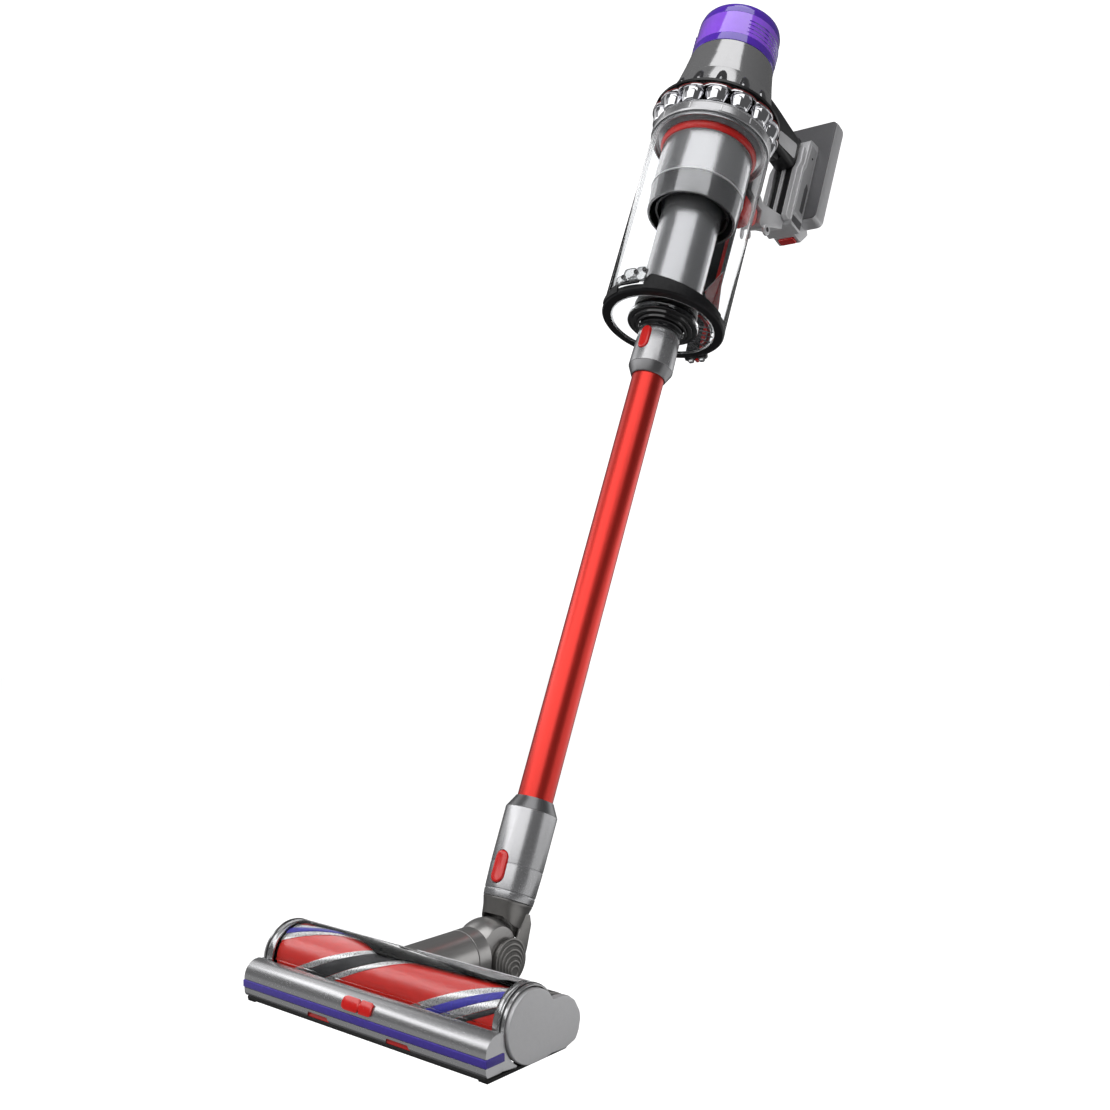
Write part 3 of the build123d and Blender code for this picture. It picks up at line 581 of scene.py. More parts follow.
lathe("collar_bin", [(44, 981), (60, 981, .5), (66, 984.1, 1), (69.2, 984.1, .4), (69.2, 981.0, .4), (70.9, 981.0, .4), (70.9, 984.3, .4), (74.6, 984.3, .6), (75.6, 986.5), (75.6, 995.2, .2), (74.7, 995.6, .15), (74.7, 996.4, .15), (75.3, 996.8, .2),
                     (74.6, 999.2), (72.4, 1000), (44, 1000)], NICKEL, "hand_unit", ("bin_collar",), n=160)
bm = bmesh.new()
for k in range(12):
    a = math.radians(30 * k + 11)
    b2 = prism_bm(rnd(boxpts(-.8, .8, 986.8, 995), .3), 74.6, 76.0, .25, "y", 2)
    me = bpy.data.meshes.new("tmp")
    b2.to_mesh(me)
    b2.free()
    me.transform(Matrix.Rotation(a, 4, "Z"))
    bm.from_mesh(me)
    bpy.data.meshes.remove(me)
finish_mesh("collar_ticks", bm, WAND, NICKEL_LT, "hand_unit", (), 32)

# ------------------------------------------------------------------ cyclones and motor housing
NC, CA = 14, math.radians(20)
bm = bmesh.new()
for k in range(NC):
    cup_p = [(0, 1000.3), (.54, 1000.3), (.68, 1001.0), (.76, 1002.6), (.82, 1005.0), (.90, 1009.0), (.97, 1013), (1.0, 1016), (.98, 1016.8), (0, 1016.8)]
    b2 = lathe_bm(rnd(cup_p, .02, 2, False), 40, "z", False)
    for v in b2.verts:
        v.co = Vector((66.5 + v.co.x * 14.2, v.co.y * 14.5, v.co.z))
    add_bm(bm, b2, Matrix.Rotation(2 * math.pi * k / NC + CA, 4, "Z"))
finish_mesh("cyclone_cups", bm, WAND, CHROME, "hand_unit", ("cyclones_lower",), 40)
lathe("tier_core_wall", [(50, 1000), (55.0, 1000), (55.0, 1017), (50, 1017)], BLACK, "hand_unit", n=96)


def scallop(t, grow=0):
    """outline of the plate over the cups"""
    u = ((t - CA) / (2 * math.pi / NC) + .5) % 1 - .5
    w_ = u * 2 * math.pi / NC * 66.5
    return 76.6 + grow + 5.0 * math.sqrt(max(.02, 1 - (w_ / 15.2) ** 2))


def scallop_band(name, r_in, z0, z1, grow, mtl, repl=()):
    secs = []
    for i in range(560):
        t = 2 * math.pi * i / 560
        ro = scallop(t, grow)
        ri = r_in(ro)
        secs.append([(ri * math.cos(t), ri * math.sin(t), z0), ((ro - .3) * math.cos(t), (ro - .3) * math.sin(t), z0), (ro * math.cos(t), ro * math.sin(t), z0 + .35), (ro * math.cos(t), ro * math.sin(t), z1 - .35), ((ro - .3) * math.cos(t), (ro - .3) * math.sin(t), z1), (ri * math.cos(t), ri * math.sin(t), z1)])
    finish_mesh(name, sweep_bm(secs, True), WAND, mtl, "hand_unit", repl, 40)


scallop_band("tier_shelf", lambda r: 50, 1016.6, 1018.6, 0, CHROME)
scallop_band("pinstripe", lambda r: r - 1.6, 1018.4, 1019.8, .15, RED_SMOKE, ("pinstripe_ring",))
lathe("finger_band", [(50, 1018.5), (71.6, 1018.5, .4), (70.2, 1027, 2), (66.2, 1044, 4), (62.5, 1061.6, .1), (50, 1061.6)], HOUSE, "hand_unit", n=160, r=.3)
bm = bmesh.new()
for k in range(NC):
    # a finger that leans in along the cone and ends in a rounded tip
    pr = [(0, 0), (8.4, 0), (8.2, 7), (7.4, 14), (6.4, 20), (5.2, 24.4), (3.2, 27.4), (0, 28.6)]
    b2 = lathe_bm(rnd(pr, 1.4, 3, False), 36, "z", False)
    lean = Matrix.Rotation(math.radians(-13), 4, "Y")
    for v in b2.verts:
        v.co.x *= .78
        v.co.z *= 1.29
        v.co = lean @ v.co
        v.co += Vector((70.8, 0, 1018.8))
    add_bm(bm, b2, Matrix.Rotation(2 * math.pi * k / NC + CA, 4, "Z"))
finish_mesh("cyclone_fingers", bm, WAND, CHROME_DK, "hand_unit", ("cyclones_upper",), 40)
lathe("housing", [(50, 1061.7), (62.5, 1061.7, .1), (57.4, 1090, 12), (54.2, 1111.6, .3), (53.4, 1112.6, .3), (31, 1112.6), (31, 1108), (50, 1108), (55, 1070), (50, 1066)], HOUSE, "hand_unit", ("motor_housing",), n=160)

# ------------------------------------------------------------------ filter and screen
FB = "filter"
lathe("filter_band", [(51.6, 1113), (54.0, 1113, .4), (53.9, 1124.2, .3), (51.6, 1124.2)], VIOLET_DK, FB, n=160)
lathe("filter_cup", [(51.6, 1124.3), (53.7, 1124.3, .3), (52.9, 1158.5, .3), (51.0, 1158.5)], VIOLET, FB, ("filter_shell",), n=160)
lathe("filter_rim", [(51.0, 1158.6), (53.0, 1158.6, .3), (52.8, 1166, 2), (51.2, 1172.2, 2.4), (47.5, 1174.2, 1.2), (40.2, 1174.2, .4), (39.4, 1172.0), (39.4, 1168), (48, 1167), (51, 1160)], VIOLET_DK, FB, n=160, r=.6)
# louvres: raised lines in the deep violet, whose darkness is painted shade for the slits
bm = bmesh.new()
for row in range(4):
    z0 = 1130 + row * 6.0
    for c0 in (-42, 138):
        vs = []
        for k in range(25):
            t = math.radians(c0 + 84 * k / 24)
            e = math.sin(math.pi * k / 24)
            for rr, dz in ((53.1, -1.3 * e ** .5), (54.3, 0), (53.1, 1.3 * e ** .5)):
                vs.append(bm.verts.new((rr * math.cos(t), rr * math.sin(t), z0 + dz)))
        for k in range(24):
            for j in range(2):
                bm.faces.new([vs[3 * k + j], vs[3 * k + 3 + j], vs[3 * k + 4 + j], vs[3 * k + 1 + j]])
            bm.faces.new([vs[3 * k + 2], vs[3 * k + 5], vs[3 * k + 3], vs[3 * k]])
bmesh.ops.remove_doubles(bm, verts=bm.verts, dist=1e-3)
finish_mesh("filter_louvres", bm, WAND, VIOLET_DK, FB, (), 40)
sc = lathe("screen", [(0, 1166), (36, 1166), (38.6, 1167, .6), (38.6, 1170.8, .8), (36.6, 1171.8, .5), (31.5, 1172, .3), (30.5, 1171.2, .3), (0, 1171.2)], SCREEN, "hand_unit", ("display",), closed=False, n=128)
cut(sc, prism_bm([(7.6 * math.cos(math.pi * k / 24), 24 + 7.6 * math.sin(math.pi * k / 24)) for k in range(48)], 1167.2, 1176, 0, "z"), WAND)
lathe("screen_ring", [(36.7, 1171.5), (38.2, 1171.2), (38.5, 1171.9), (37.6, 1172.6), (36.7, 1172.4)], NICKEL_LT, "hand_unit", n=128, r=.2)
lathe("mode_key", [(0, 1169.8), (7.0, 1169.8), (7.2, 1172.0, .5), (6.2, 1172.8, .4), (3, 1172.5), (0, 1172.4)], NICKEL_LT, "mode_key", ("mode_button",), closed=False, n=48, offs=(0, 24, 0))

# ------------------------------------------------------------------ handle
bm = prism_bm(rnd([(76.6, 978.4), (106.5, 978.4, 5), (108, 1000, 6), (108, 1078), (66, 1078, 3), (66, 1064), (72.5, 1056), (76.6, 1040)], 3), -14.6, 14.6, 3.2, "x")
runner = finish_mesh("runner_shell", bm, WAND, BLACK, "hand_unit", ("runner",), 32)
cut(runner, prism_bm(boxpts(-5.5, 5.5, 92, 101), 970, 1012, 0, "z"), WAND)
cut(runner, lathe_bm([(0, 999.9), (82.5, 999.9), (82.5, 1029.6), (0, 1029.6)], 128, "z", False), WAND)
for sx in (-1, 1):
    x0, x1 = sorted((sx * 14.2, sx * 15.2))
    prism("runner_side_%s" % ("r" if sx > 0 else "l"), [(86, 984), (104, 984), (104, 1070), (86, 1070)], x0, x1, NICKEL_LT, "hand_unit", M=WAND, bev=.4, r=4)
bm = prism_bm(rnd([(83, 947), (112, 947, 6), (117, 956, 5), (116, 974, 4), (104, 977), (83, 977)], 4), -11, 11, 3.4, "x")
prism_bm(boxpts(-5, 5, 92.5, 100.5), 975, 997, .4, "z", 2, bm)
for k in range(3):
    prism_bm(rnd(boxpts(90 + 7 * k, 93 + 7 * k, 945.8, 948.5), .8), -8, 8, .5, "x", 2, bm)
finish_mesh("lever_red", bm, WAND, RED, "lever", ("bin_lever",), 32)

gp = rnd([(-16.5, 1079), (16.5, 1079), (16.5, 1131), (-16.5, 1131)], 13, 8)
bm = bmesh.new()
rings = []
for i, d in enumerate([63, 68, 74, 84, 96, 108, 120, 132, 144, 152, 158, 161.6]):
    q = (d - 63) / 98.6
    sw = 1 + .05 * math.sin(math.pi * q) - .02 * q
    sh = 1 + .03 * math.sin(2 * math.pi * q)
    rings.append([bm.verts.new((x * sw, d, 1105 + (z - 1105) * sh)) for x, z in gp])
n = len(gp)
for A, B in zip(rings, rings[1:]):
    for k in range(n):
        bm.faces.new([A[k], A[(k + 1) % n], B[(k + 1) % n], B[k]])
bm.faces.new(rings[0])
bm.faces.new(rings[-1])
grip = finish_mesh("grip_body", bm, WAND, BLACK, "hand_unit", ("grip",), 40)
cut(grip, prism_bm(boxpts(-7.7, 7.7, 1060, 1100), 109.4, 138.2, 0, "y"), WAND)
for sx in (-1, 1):
    x0, x1 = sorted((sx * 15.6, sx * 17.4))
    prism("grip_panel_%s" % ("r" if sx > 0 else "l"), [(114, 1083), (157, 1090), (156, 1113), (110, 1101)], x0, x1, NICKEL_LT, "hand_unit", M=WAND, bev=.7, r=4)
bm = prism_bm(rnd([(110.8, 1071, 3), (124, 1069.4), (133.6, 1073, 3), (133.6, 1090), (110.8, 1090)], 2.4), -7, 7, 1.6, "x")
for v in bm.verts:
    if v.co.z < 1085:
        v.co.y += 1.6 * math.sin((v.co.z - 1069) / 16 * math.pi)
finish_mesh("trigger_key", bm, WAND, BLACK, "trigger_body", ("trigger",), 40)

finish_mesh("rail", prism_bm(rnd(boxpts(-11, 11, 1003, 1134), 2), 165.4, 172.0, .8, "y"), WAND, BLACK, "hand_unit", ("handle_rail",), 32)
finish_mesh("rail_rib", prism_bm(rnd(boxpts(-2.6, 2.6, 1004, 1082), 1.6), 162.6, 165.6, .7, "y"), WAND, NICKEL_LT, "hand_unit", (), 32)
for sx in (-1, 1):
    side = rnd([(162.2, 1001), (172.0, 998), (172.0, 1118), (166.5, 1118), (166.5, 1092), (162.2, 1078)], 2.5)
    finish_mesh("rail_side_%s" % ("r" if sx > 0 else "l"), prism_bm(side, *sorted((sx * 13.2, sx * 21.8)), 1.2, "x"), WAND, NICKEL_LT, "hand_unit", (), 32)
prism("bridge_strut", [(108, 978.4, 1), (108, 995, 2), (118, 988.6, 6), (162, 1002.4, 3), (172, 1002.6, .6), (172, 986, 3), (150, 973.5, 8), (129, 957.5, 5), (120.2, 960, 4), (119.8, 978.4, 1)], -13, 13, NICKEL_LT, "hand_unit", ("bridge",), WAND, bev=1.6, r=2)
bm = bmesh.new()
br_ = bmesh.new()
for sx in (-1, 1):
    for tgt, pr in ((bm, [(0, 12.6), (7.6, 12.6, .3), (7.6, 15.2, .6), (6.4, 16.6, .8), (0, 16.6)]), (br_, [(0, 16.0), (3.2, 16.0, .1), (3.2, 16.9, .2), (0, 16.9)])):
        b2 = lathe_bm(rnd(pr, .2, 3, False), 40, "x", False)
        if sx < 0:
            for v in b2.verts:
                v.co.x *= -1
        add_bm(tgt, moved(b2, (0, 136, 959)))
finish_mesh("bridge_knob", bm, WAND, NICKEL_LT, "hand_unit", (), 32)
finish_mesh("bridge_knob_pin", br_, WAND, BLACK, "hand_unit", (), 32)

blk = rnd([(172.4, 1001, 3), (177, 996.3, 3), (199.8, 996.3, 1), (199.8, 1139, 5), (175.5, 1136, 7), (174.5, 1094, 3), (172.4, 1088, 3)], 4, 5)
blk = finish_mesh("battery_body", prism_bm(blk, -23.4, 23.4, 2.4, "x"), WAND, NICKEL_LT, "battery", ("battery_block",), 32)
for sx in (-1, 1):
    nm_ = "r" if sx > 0 else "l"
    prism("battery_panel_" + nm_, [(175.5, 1016), (196, 1016), (196, 1130), (181, 1130), (179, 1090), (175.5, 1080)], *sorted((sx * 22.6, sx * 23.8)), SATIN, "battery", M=WAND, bev=.45, r=3)
    prism("battery_slot_" + nm_, [(186.5, 1024), (194.5, 1024), (194.5, 1064), (189.5, 1072), (186.5, 1060)], *sorted((sx * 23.2, sx * 24.2)), SATIN_DK, "battery", M=WAND, bev=.3, r=1.6)
    prism("battery_waist_" + nm_, [(174.4, 1000), (198.8, 1000), (198.8, 1012), (174.4, 1010)], *sorted((sx * 22.6, sx * 23.9)), SATIN_DK, "battery", M=WAND, bev=.4, r=1.2)
    b2 = moved(lathe_bm(rnd([(0, 0), (1.5, 0, .1), (1.5, .9, .3), (0, .9)], .1, 2, False), 24, "x", False), (23.5, 189, 1112))
    if sx < 0:
        for v in b2.verts:
            v.co.x *= -1
    finish_mesh("battery_dot_" + nm_, b2, WAND, BLACK, "battery", (), 32)
# foot under the wide plate, with the pocket for the red button
foot = prism_bm(rnd([(197, 1001, 1), (200.2, 996.2, 1.5), (218, 996.2, 2), (231, 1017, 3), (225, 1024, 2), (197, 1024, 1)], 1, 5), -16.4, 16.4, 1.6, "x")
foot = finish_mesh("battery_foot", foot, WAND, NICKEL_LT, "battery", (), 32)
cut(foot, prism_bm(boxpts(-12.4, 12.4, 203.6, 216.4), 980, 1007.6, 0, "z"), WAND)
# wide plate: outline in x,z, thin rim that turns outwards
out = rnd([(-43, 1018), (43, 1018), (43, 1184), (-43, 1184)], 9, 8)
bm = bmesh.new()
rings = []
for ins, d in ((6, 200.2), (2.4, 200.5), (.9, 202), (.2, 204.6), (0, 208.5), (0, 217.5), (.4, 220.6), (1.4, 223.2), (3.2, 225.2), (5.6, 226), (7.5, 225.6), (9, 225.4)):
    f = lambda v, c, h: c + (v - c) * (h - ins) / h
    rings.append([bm.verts.new((f(x, 0, 43), d, f(z, 1101, 83))) for x, z in out])
n = len(out)
for A, B in zip(rings, rings[1:]):
    for k in range(n):
        bm.faces.new([A[k], A[(k + 1) % n], B[(k + 1) % n], B[k]])
bm.faces.new(rings[0])
bm.faces.new(rings[-1])
finish_mesh("battery_plate", bm, WAND, SATIN, "battery", ("battery_slab",), 32)
out2 = rnd([(-42.2, 1020), (42.2, 1020), (42.2, 1182), (-42.2, 1182)], 8, 8)
finish_mesh("battery_plate_face", prism_bm(out2, 199.3, 201.0, .5, "y"), WAND, SATIN_DK, "battery", (), 32)
prism("battery_key_red", boxpts(-11.9, 11.9, 204.1, 215.9), 993.7, 1004.5, RED, "battery_key", ("battery_button",), WAND, bev=1.4, r=3, plane="z")

# ------------------------------------------------------------------ floor head
def circ(r, a0, a1, n, cy=0.0, cz=36.0):
    return [(cy + r * math.cos(math.radians(a0 + (a1 - a0) * k / n)), cz + r * math.sin(math.radians(a0 + (a1 - a0) * k / n)), 0) for k in range(n + 1)]


hp = [(14.4, 65.6, .5), (18, 63.5, 3), (24, 58.5, 5), (28.5, 54.4, 4), (34, 52.6, 4), (44, 50.4, 8), (54, 45.2, 9), (60.5, 37, 9), (64, 26, 8), (64, 12, 4), (60, 7.6, 2), (24.5, 7.6, 1), (24.2, 16, 0)]
hp = rnd(hp + circ(30.7, -30, 61, 14) + [(14.4, 63.4, .2)], 1, 5)
hs = finish_mesh("head_shell", prism_bm(hp, -151.9, 151.9, .8, "x"), WORLD, NICKEL_DARK_AND_SHADE, "head", ("head_housing",), 32)
cut(hs, moved(lathe_bm([(0, 11), (27.05, 11), (27.05, 200), (0, 200)], 96, "y", False), (0, 0, 41)), WORLD)
for sx in (-1, 1):
    cut(hs, prism_bm(boxpts(42, 70, -5, 20), sx * 74 - 8.6, sx * 74 + 8.6, 0, "x"), WORLD)

finish_mesh("roller_window", prism_bm(rnd(circ(33.2, 65.5, 174, 32) + circ(31.2, 174, 65.5, 32), 0), -151.9, 151.9, .3, "x", 2), WORLD, CLEAR, "head", ("roller_cover",), 32)
# bright edge along the back of the window and the dark wiper that tapers along under it
finish_mesh("window_trim", prism_bm(rnd([(12.9, 64.2), (14.6, 63.6), (15.4, 65.6), (13.8, 67.0)], .5), -151.8, 151.8, .3, "x"), WORLD, NICKEL_LT, "head", (), 32)
secs = []
for i in range(61):
    x = -151.5 + 303 * i / 60
    if x < -15:
        w_ = 3 + 47 * max(0, min(1, (x + 105) / 90)) ** 1.5
    else:
        w_ = 50 - 20 * ((x + 15) / 167) ** .8
    a0 = 66.5 + 3 * max(0, x / 150)
    secs.append([(x, r_ * math.cos(math.radians(t_)), 36 + r_ * math.sin(math.radians(t_))) for r_, t_ in ((30.95, a0), (30.95, a0 + w_ * .33), (30.95, a0 + w_ * .66), (30.95, a0 + w_), (30.2, a0 + w_), (29.8, a0 + w_ * .66), (29.7, a0 + w_ * .33), (29.7, a0))])
finish_mesh("window_wiper", sweep_bm(secs, False), WORLD, WIPER, "head", ("cover_wiper",), 40)

bar = [(-35.6, 38.4, .6), (-38.5, 39.3, 2)] + [(-40.2 - 15.0 * math.sin(math.radians(q)), 23.4 + 15.8 * math.cos(math.radians(q)), 0) for q in range(10, 91, 8)]
bar += [(-55.2, 22.4, .3), (-53.6, 22.2, .1), (-53.6, 14.8, .1), (-55.2, 14.6, .3), (-54.8, 9.6, 2), (-53.2, 6.8, 1.0), (-36, 6.6, 1), (-33.6, 9, 1), (-33.6, 20, 1), (-35.6, 30, 1)]
fb = finish_mesh("bar", prism_bm(rnd(bar, 1, 6), -158.8, 158.8, 1.4, "x"), WORLD, NICKEL, "head", ("front_bar",), 32)
cut(fb, prism_bm(boxpts(-96, 96, 5, 12.4), -53.1, -47.6, 0, "y"), WORLD)
for x0, x1 in ((-67, -34), (38, 71)):
    cut(fb, prism_bm([(x0 + 3.5, 12.2), (x0, 5), (x1, 5), (x1 - 3.5, 12.2)], -60, -52, 0, "y"), WORLD)
st = prism_bm(rnd(boxpts(-56.2, -53.2, 15, 22), 1.1), -158.6, 158.6, .8, "x")
for sx in (-1, 1):
    prism_bm(rnd(boxpts(-56, -33.0, 15, 22), 1), *sorted((sx * 157.6, sx * 159.8)), .7, "x", 2, st)
finish_mesh("bumper", st, WORLD, STRIPE, "head", ("bumper_strip",), 32)
gt = prism_bm(rnd(boxpts(-52.9, -48.2, 6.9, 12.1), .6), -78, 78, .5, "x", 2)
finish_mesh("gate_red", gt, WORLD, RED, "suction_control", ("gate_strip",), 32)
# black strip under the front bar: partly the real sole, partly painted contact shadow along the floor
finish_mesh("sole_lip_contact_shadow", prism_bm(rnd(boxpts(-53.4, -36.4, 3.0, 6.8), 1.4), -156.5, 156.5, 1.0, "x"), WORLD, RUBBER, "head", (), 32)
# slider: two domed pads that follow the bar
def pad_sec(x, f):
    """cross-section of the pad at x, drawn in to its middle by f"""
    ang = lambda q: math.radians(q)
    out = [(-40.2 - (15.0 + 2.3) * math.sin(ang(q)), 23.4 + (15.8 + 2.3) * math.cos(ang(q))) for q in range(41, 82, 5)]
    inn = [(-40.2 - 15.4 * math.sin(ang(q)), 23.4 + 16.2 * math.cos(ang(q))) for q in range(81, 40, -5)]
    pts = []
    cy, cz = -40.2 - 16.0 * math.sin(ang(61)), 23.4 + 16.6 * math.cos(ang(61))
    for y, z in out + inn:
        pts.append((x, cy + (y - cy) * f, cz + (z - cz) * f))
    return pts


sl = bmesh.new()
for x0, x1, ra, rb in ((-17, 4.8, 7.0, 1.8), (6.0, 22, 1.8, 2.6)):
    secs = []
    for k in range(9):
        q = math.radians(90 * k / 8)
        secs.append(pad_sec(x0 + ra * (1 - math.sin(q)), .42 + .58 * math.cos(q)))
    secs = sorted(secs, key=lambda c: c[0][0])
    tail = []
    for k in range(9):
        q = math.radians(90 * k / 8)
        tail.append(pad_sec(x1 - rb * (1 - math.sin(q)), .60 + .40 * math.cos(q)))
    tail = sorted(tail, key=lambda c: c[0][0])
    sweep_bm(secs + tail, False, sl)
sweep_bm([pad_sec(3.8, .55), pad_sec(7.2, .55)], False, sl)
finish_mesh("slider_red", sl, WORLD, RED, "suction_control", ("suction_slider",), 32)

cap = circ(31.2, 262, 31.5, 60, .5, 34.6)
cap += [(29.4, 50.6, 3), (36.7, 50.7, 4), (47.7, 48.6, 8), (56.4, 42.5, 9), (63.3, 31.3, 9), (64.2, 24.8, 8), (62, 15.3, 8), (57.6, 8, 6), (42.8, 3.9, 6), (24.7, 5.0, 4), (17, 3.6, 3)]
for sx, nm in ((1, "right"), (-1, "left")):
    finish_mesh("end_cap_%s" % nm, prism_bm(rnd(cap, 2, 5), *sorted((sx * 154.0, sx * 161.9)), 1.2, "x"), WORLD, SATIN, "head", ("end_caps",) if sx > 0 else (), 32)
    # dark seat behind the cap, cheek between the bar and the cap, ring that ends the window
    seat = circ(30.6, 262, 36, 48, .5, 34.6) + [(29, 49.8, 3), (36.7, 49.9, 4), (47.4, 47.8, 8), (55.8, 42, 9), (62.4, 31, 9), (63.2, 24.8, 8), (61, 15.8, 8), (57, 8.9, 6), (42.8, 5, 6), (24.7, 6.0, 4), (17, 4.6, 3)]
    finish_mesh("cap_seat_%s" % nm, prism_bm(rnd(seat, 2, 4), *sorted((sx * 152.0, sx * 154.4)), .2, "x"), WORLD, BLACK, "head", (), 32)
    chk = [(-36, 38.4, 1), (-36, 6.8, .6), (-17, 4.6, 1)] + circ(32.7, 239, 174, 24, .5, 34.6)
    finish_mesh("cheek_%s" % nm, prism_bm(rnd(chk, .5, 4), *sorted((sx * 150.0, sx * 158.6)), .8, "x"), WORLD, NICKEL, "head", (), 32)
    secs = []
    for k in range(61):
        t_ = math.radians(178 - (178 - 36) * k / 60)
        secs.append([(sx * x_, .4 + r_ * math.cos(t_), 35.2 + r_ * math.sin(t_)) for x_, r_ in ((145.0, 31.6), (145.0, 33.4), (146.0, 33.9), (150.4, 33.9), (151.0, 33.2), (152.0, 33.2), (152.6, 33.8), (156.8, 33.6), (157.6, 33.0), (157.6, 32.0))])
    finish_mesh("window_end_%s" % nm, sweep_bm(secs, False), WORLD, HOUSE, "head", (), 32)
    secs = []
    for k in range(61):
        t_ = math.radians(178 - (178 - 36) * k / 60)
        secs.append([(sx * x_, .4 + r_ * math.cos(t_), 35.2 + r_ * math.sin(t_)) for x_, r_ in ((153.2, 33.0), (153.2, 34.2), (154.8, 34.2), (154.8, 33.0))])
    finish_mesh("window_line_%s" % nm, sweep_bm(secs, False), WORLD, BLACK, "head", (), 32)
    # black strip under each end cap: partly the real sole, partly painted contact shadow
    prism("sole_edge_contact_shadow_%s" % nm, boxpts(-52, 50, 1.2, 4.3), *sorted((sx * 147, sx * 157.6)), RUBBER, "head", bev=.8, r=1)
    prism("rear_foot_%s" % nm, [(56, 5), (63, 5), (67, 9), (67.4, 15), (64, 19), (58, 16)], *sorted((sx * 138, sx * 156)), NICKEL, "head", bev=1.4, r=3)

# ------------------------------------------------------------------ roller
bm = lathe_bm(rnd([(20.6, -145.8), (26.4, -145.8, 1), (27.5, -144), (27.5, 144), (26.4, 145.8, 1), (20.6, 145.8)], .8), 128, "x")
for v in bm.verts:
    v.co += Vector((0, 0, 36))
finish_mesh("roller_pile", bm, WORLD, PILE, "roller", ("roller_tube",), 32)


def helix(bmh, th0, w, h, off=0, pitch=1.0):
    """a raised band that winds along the roller, th0 and pitch in degrees and degrees per mm"""
    nx = 120
    secs = []
    cs = [(-.5, -.3), (-.5, .55), (-.36, .9), (0, 1), (.36, .9), (.5, .55), (.5, -.3)]
    for i in range(nx + 1):
        x = -145 + 290 * i / nx
        sec = []
        for u, q in cs:
            th = math.radians(th0 + pitch * (x) + (off + u * w) / 27.5 * 57.2958)
            r_ = 27.5 + h * q
            sec.append(bmh.verts.new((x, r_ * math.cos(th), 36 + r_ * math.sin(th))))
        secs.append(sec)
    m_ = len(cs)
    for A, B in zip(secs, secs[1:]):
        for k in range(m_):
            bmh.faces.new([A[k], A[(k + 1) % m_], B[(k + 1) % m_], B[k]])
    bmh.faces.new(secs[0])
    bmh.faces.new(secs[-1])


P = -.9
TH_BLACK, TH_BLUE, TH_BLUE2 = 104, 246, -16
b = bmesh.new()
helix(b, TH_BLACK, 13, 1.2, 0, P)
helix(b, TH_BLUE, 5.0, 1.0, 14.6, P)
finish_mesh("felt_bands", b, WORLD, FELT, "roller", ("felt_strips",), 40)
b = bmesh.new()
helix(b, TH_BLUE, 8.0, 1.4, 0, P)
helix(b, TH_BLUE2, 8.0, 1.4, 0, P)
finish_mesh("bristle_bands", b, WORLD, BRISTLE, "roller", ("bristle_strips",), 40)
b = bmesh.new()
for th, o, w_ in ((TH_BLACK, -9.8, 6.0), (TH_BLACK, 9.6, 5.4), (TH_BLUE, 8.0, 7.4), (TH_BLUE, -7.8, 7.2), (TH_BLUE2, 8.2, 7.6), (TH_BLUE2, -8.2, 7.0)):
    helix(b, th, w_, .8, o, P)
finish_mesh("strip_edges", b, WORLD, EDGE, "roller", (), 40)

for sx, nm in ((-1, "left"), (1, "right")):
    bm = lathe_bm(rnd([(2.6, -7), (8.2, -7, .6), (9, -5.8), (9, 5.8), (8.2, 7, .6), (2.6, 7)], .8), 48, "x")
    for v in bm.verts:
        v.co += Vector((sx * 74, 55, 9))
    finish_mesh("rear_wheel_" + nm, bm, WORLD, RUBBER, nm + "_wheel", ("wheel_" + nm,), 32)

# ------------------------------------------------------------------ camera, light, stage
AZ, EL = math.radians(39.63), math.radians(-.69)
cam_d = bpy.data.cameras.new("camera")
cam = bpy.data.objects.new("camera", cam_d)
scene.collection.objects.link(cam)
cam.location = (.8527, -.8055, .4176)
fwd = Vector((-math.sin(AZ) * math.cos(EL), math.cos(AZ) * math.cos(EL), -math.sin(EL)))
cam.rotation_euler = fwd.to_track_quat("-Z", "Y").to_euler()
cam_d.sensor_width = 36
cam_d.lens = 36 * 1259.5 / 1110
cam_d.clip_start = .01
scene.camera = cam
right = Vector((math.cos(AZ), math.sin(AZ), 0))
up = Vector((0, 0, 1))
mid = Vector((0, .40, .55))


def stage_mat(name, col, em):
    m = bpy.data.materials.new(name)
    m.use_nodes = True
    bs = m.node_tree.nodes["Principled BSDF"]
    bs.inputs["Base Color"].default_value = (*col, 1)
    bs.inputs["Roughness"].default_value = .9
    bs.inputs["Specular IOR Level"].default_value = 0
    bs.inputs["Emission Color"].default_value = (1, 1, 1, 1)
    bs.inputs["Emission Strength"].default_value = em
    return m


def panel(name, centre, u, v, mtl):
    me = bpy.data.meshes.new(name)
    me.from_pydata([centre - u - v, centre + u - v, centre + u + v, centre - u + v], [], [(0, 1, 2, 3)])
    ob = bpy.data.objects.new(name, me)
    scene.collection.objects.link(ob)
    me.materials.append(mtl)
    return ob


# the pale floor lies below the lowest point that the head reaches when it is slid off or rolled
fl = panel("floor", Vector((0, 0, -.34)), Vector((9, 0, 0)), Vector((0, 9, 0)), stage_mat("floor_white", (.45, .45, .45), .93))
fl.visible_diffuse = False
fl.visible_glossy = False
fl.visible_transmission = False
# the floor as the head sees it: bright to the right, dimmer in front
for nm_, x0, x1, y0, y1, em in (("floor_glow_right", .165, 1.3, -.6, 1.0, .85), ("floor_glow_front", -1.0, .165, -1.0, -.06, .40)):
    g = panel(nm_, Vector(((x0 + x1) / 2, (y0 + y1) / 2, -.0002)), Vector(((x1 - x0) / 2, 0, 0)), Vector((0, (y1 - y0) / 2, 0)), stage_mat(nm_ + "_mat", (0, 0, 0), em))
    g.visible_camera = False
    g.visible_diffuse = False
    g.visible_transmission = False
    g.visible_shadow = False
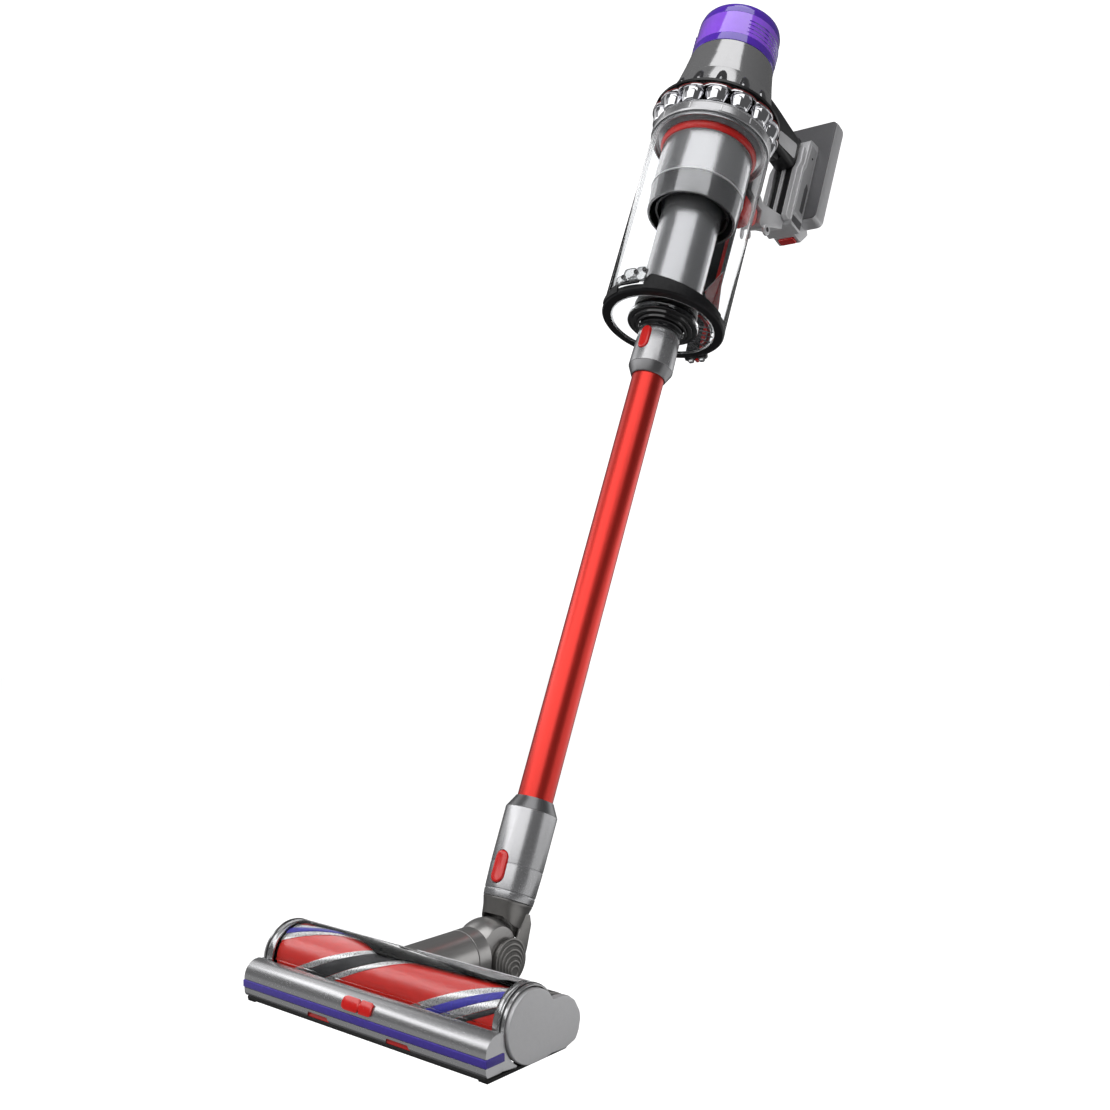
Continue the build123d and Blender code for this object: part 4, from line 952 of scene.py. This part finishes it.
# pale surround in two shells: the one behind the object also shows through the clear pieces
ff = Vector((fwd.x, fwd.y, 0)).normalized()
for nm_, back in (("surround_back", True), ("surround_front", False)):
    bmd = bmesh.new()
    bmesh.ops.create_uvsphere(bmd, u_segments=96, v_segments=48, radius=8.5)
    drop = [f for f in bmd.faces if (f.calc_center_median().normalized().dot(ff) > .60) != back]
    bmesh.ops.delete(bmd, geom=drop, context="FACES")
    med = bpy.data.meshes.new(nm_)
    bmd.to_mesh(med)
    bmd.free()
    dome = bpy.data.objects.new(nm_, med)
    scene.collection.objects.link(dome)
    dome.location = (0, .4, .5)
    med.materials.append(stage_mat(nm_ + "_white", (.8, .8, .8), 1.05))
    dome.visible_diffuse = False
    dome.visible_glossy = False
    dome.visible_shadow = False
    dome.visible_transmission = back
AXV = Vector((0, S, C))
NV = Vector((0, C, -S))


def strip(name, deg, dist, width, s0, s1, L):
    """soft panel that runs along the wand; deg is measured about the wand from the viewer's side, + to the right"""
    a = math.radians(-49.7 + deg)
    dr = Vector((1, 0, 0)) * math.cos(a) + NV * math.sin(a)
    d = bpy.data.lights.new(name, "AREA")
    d.shape = "RECTANGLE"
    d.size, d.size_y = width, s1 - s0
    d.energy = L * math.pi * width * (s1 - s0)
    ob = bpy.data.objects.new(name, d)
    scene.collection.objects.link(ob)
    pos = Vector((0, .131, .041)) + AXV * ((s0 + s1) / 2) + dr * dist
    xa = AXV.cross(dr)
    R = Matrix((xa, AXV, dr)).transposed().to_4x4()
    ob.matrix_world = Matrix.Translation(pos) @ R
    ob.visible_camera = False


strip("key", -18.5, 2.0, 3.3, 1.64, 8.0, 1.75)
strip("key_low", -34, 2.0, 2.6, -.1, 1.60, 1.75)
strip("wand_right", 116, 1.62, 1.2, .45, 1.45, .6)
strip("rim_right", 125, 1.6, 1.3, .2, 2.4, .6)
strip("wand_left", -90, 1.5, 2.2, .42, 1.5, .42)
strip("rim_left", -115, 1.7, 1.0, .2, 2.4, .55)


def card(name, pos, target, sx_, sy_, L):
    """soft panel at a place, turned to a target"""
    d = bpy.data.lights.new(name, "AREA")
    d.shape = "RECTANGLE"
    d.size, d.size_y = sx_, sy_
    d.energy = L * math.pi * sx_ * sy_
    ob = bpy.data.objects.new(name, d)
    scene.collection.objects.link(ob)
    ob.location = pos
    ob.rotation_euler = (Vector(target) - ob.location).to_track_quat("-Z", "Y").to_euler()
    ob.visible_camera = False


card("head_card", (-1.31, -.86, 1.10), (0, 0, .05), 1.5, .52, 2.3)
card("back_right", (1.2, 1.0, .33), (0, .1, .08), 1.3, .66, .9)
w = bpy.data.worlds.new("studio")
scene.world = w
w.use_nodes = True
w.node_tree.nodes["Background"].inputs["Color"].default_value = (.12, .12, .122, 1)
w.node_tree.nodes["Background"].inputs["Strength"].default_value = 1.0
scene.view_settings.view_transform = "Standard"

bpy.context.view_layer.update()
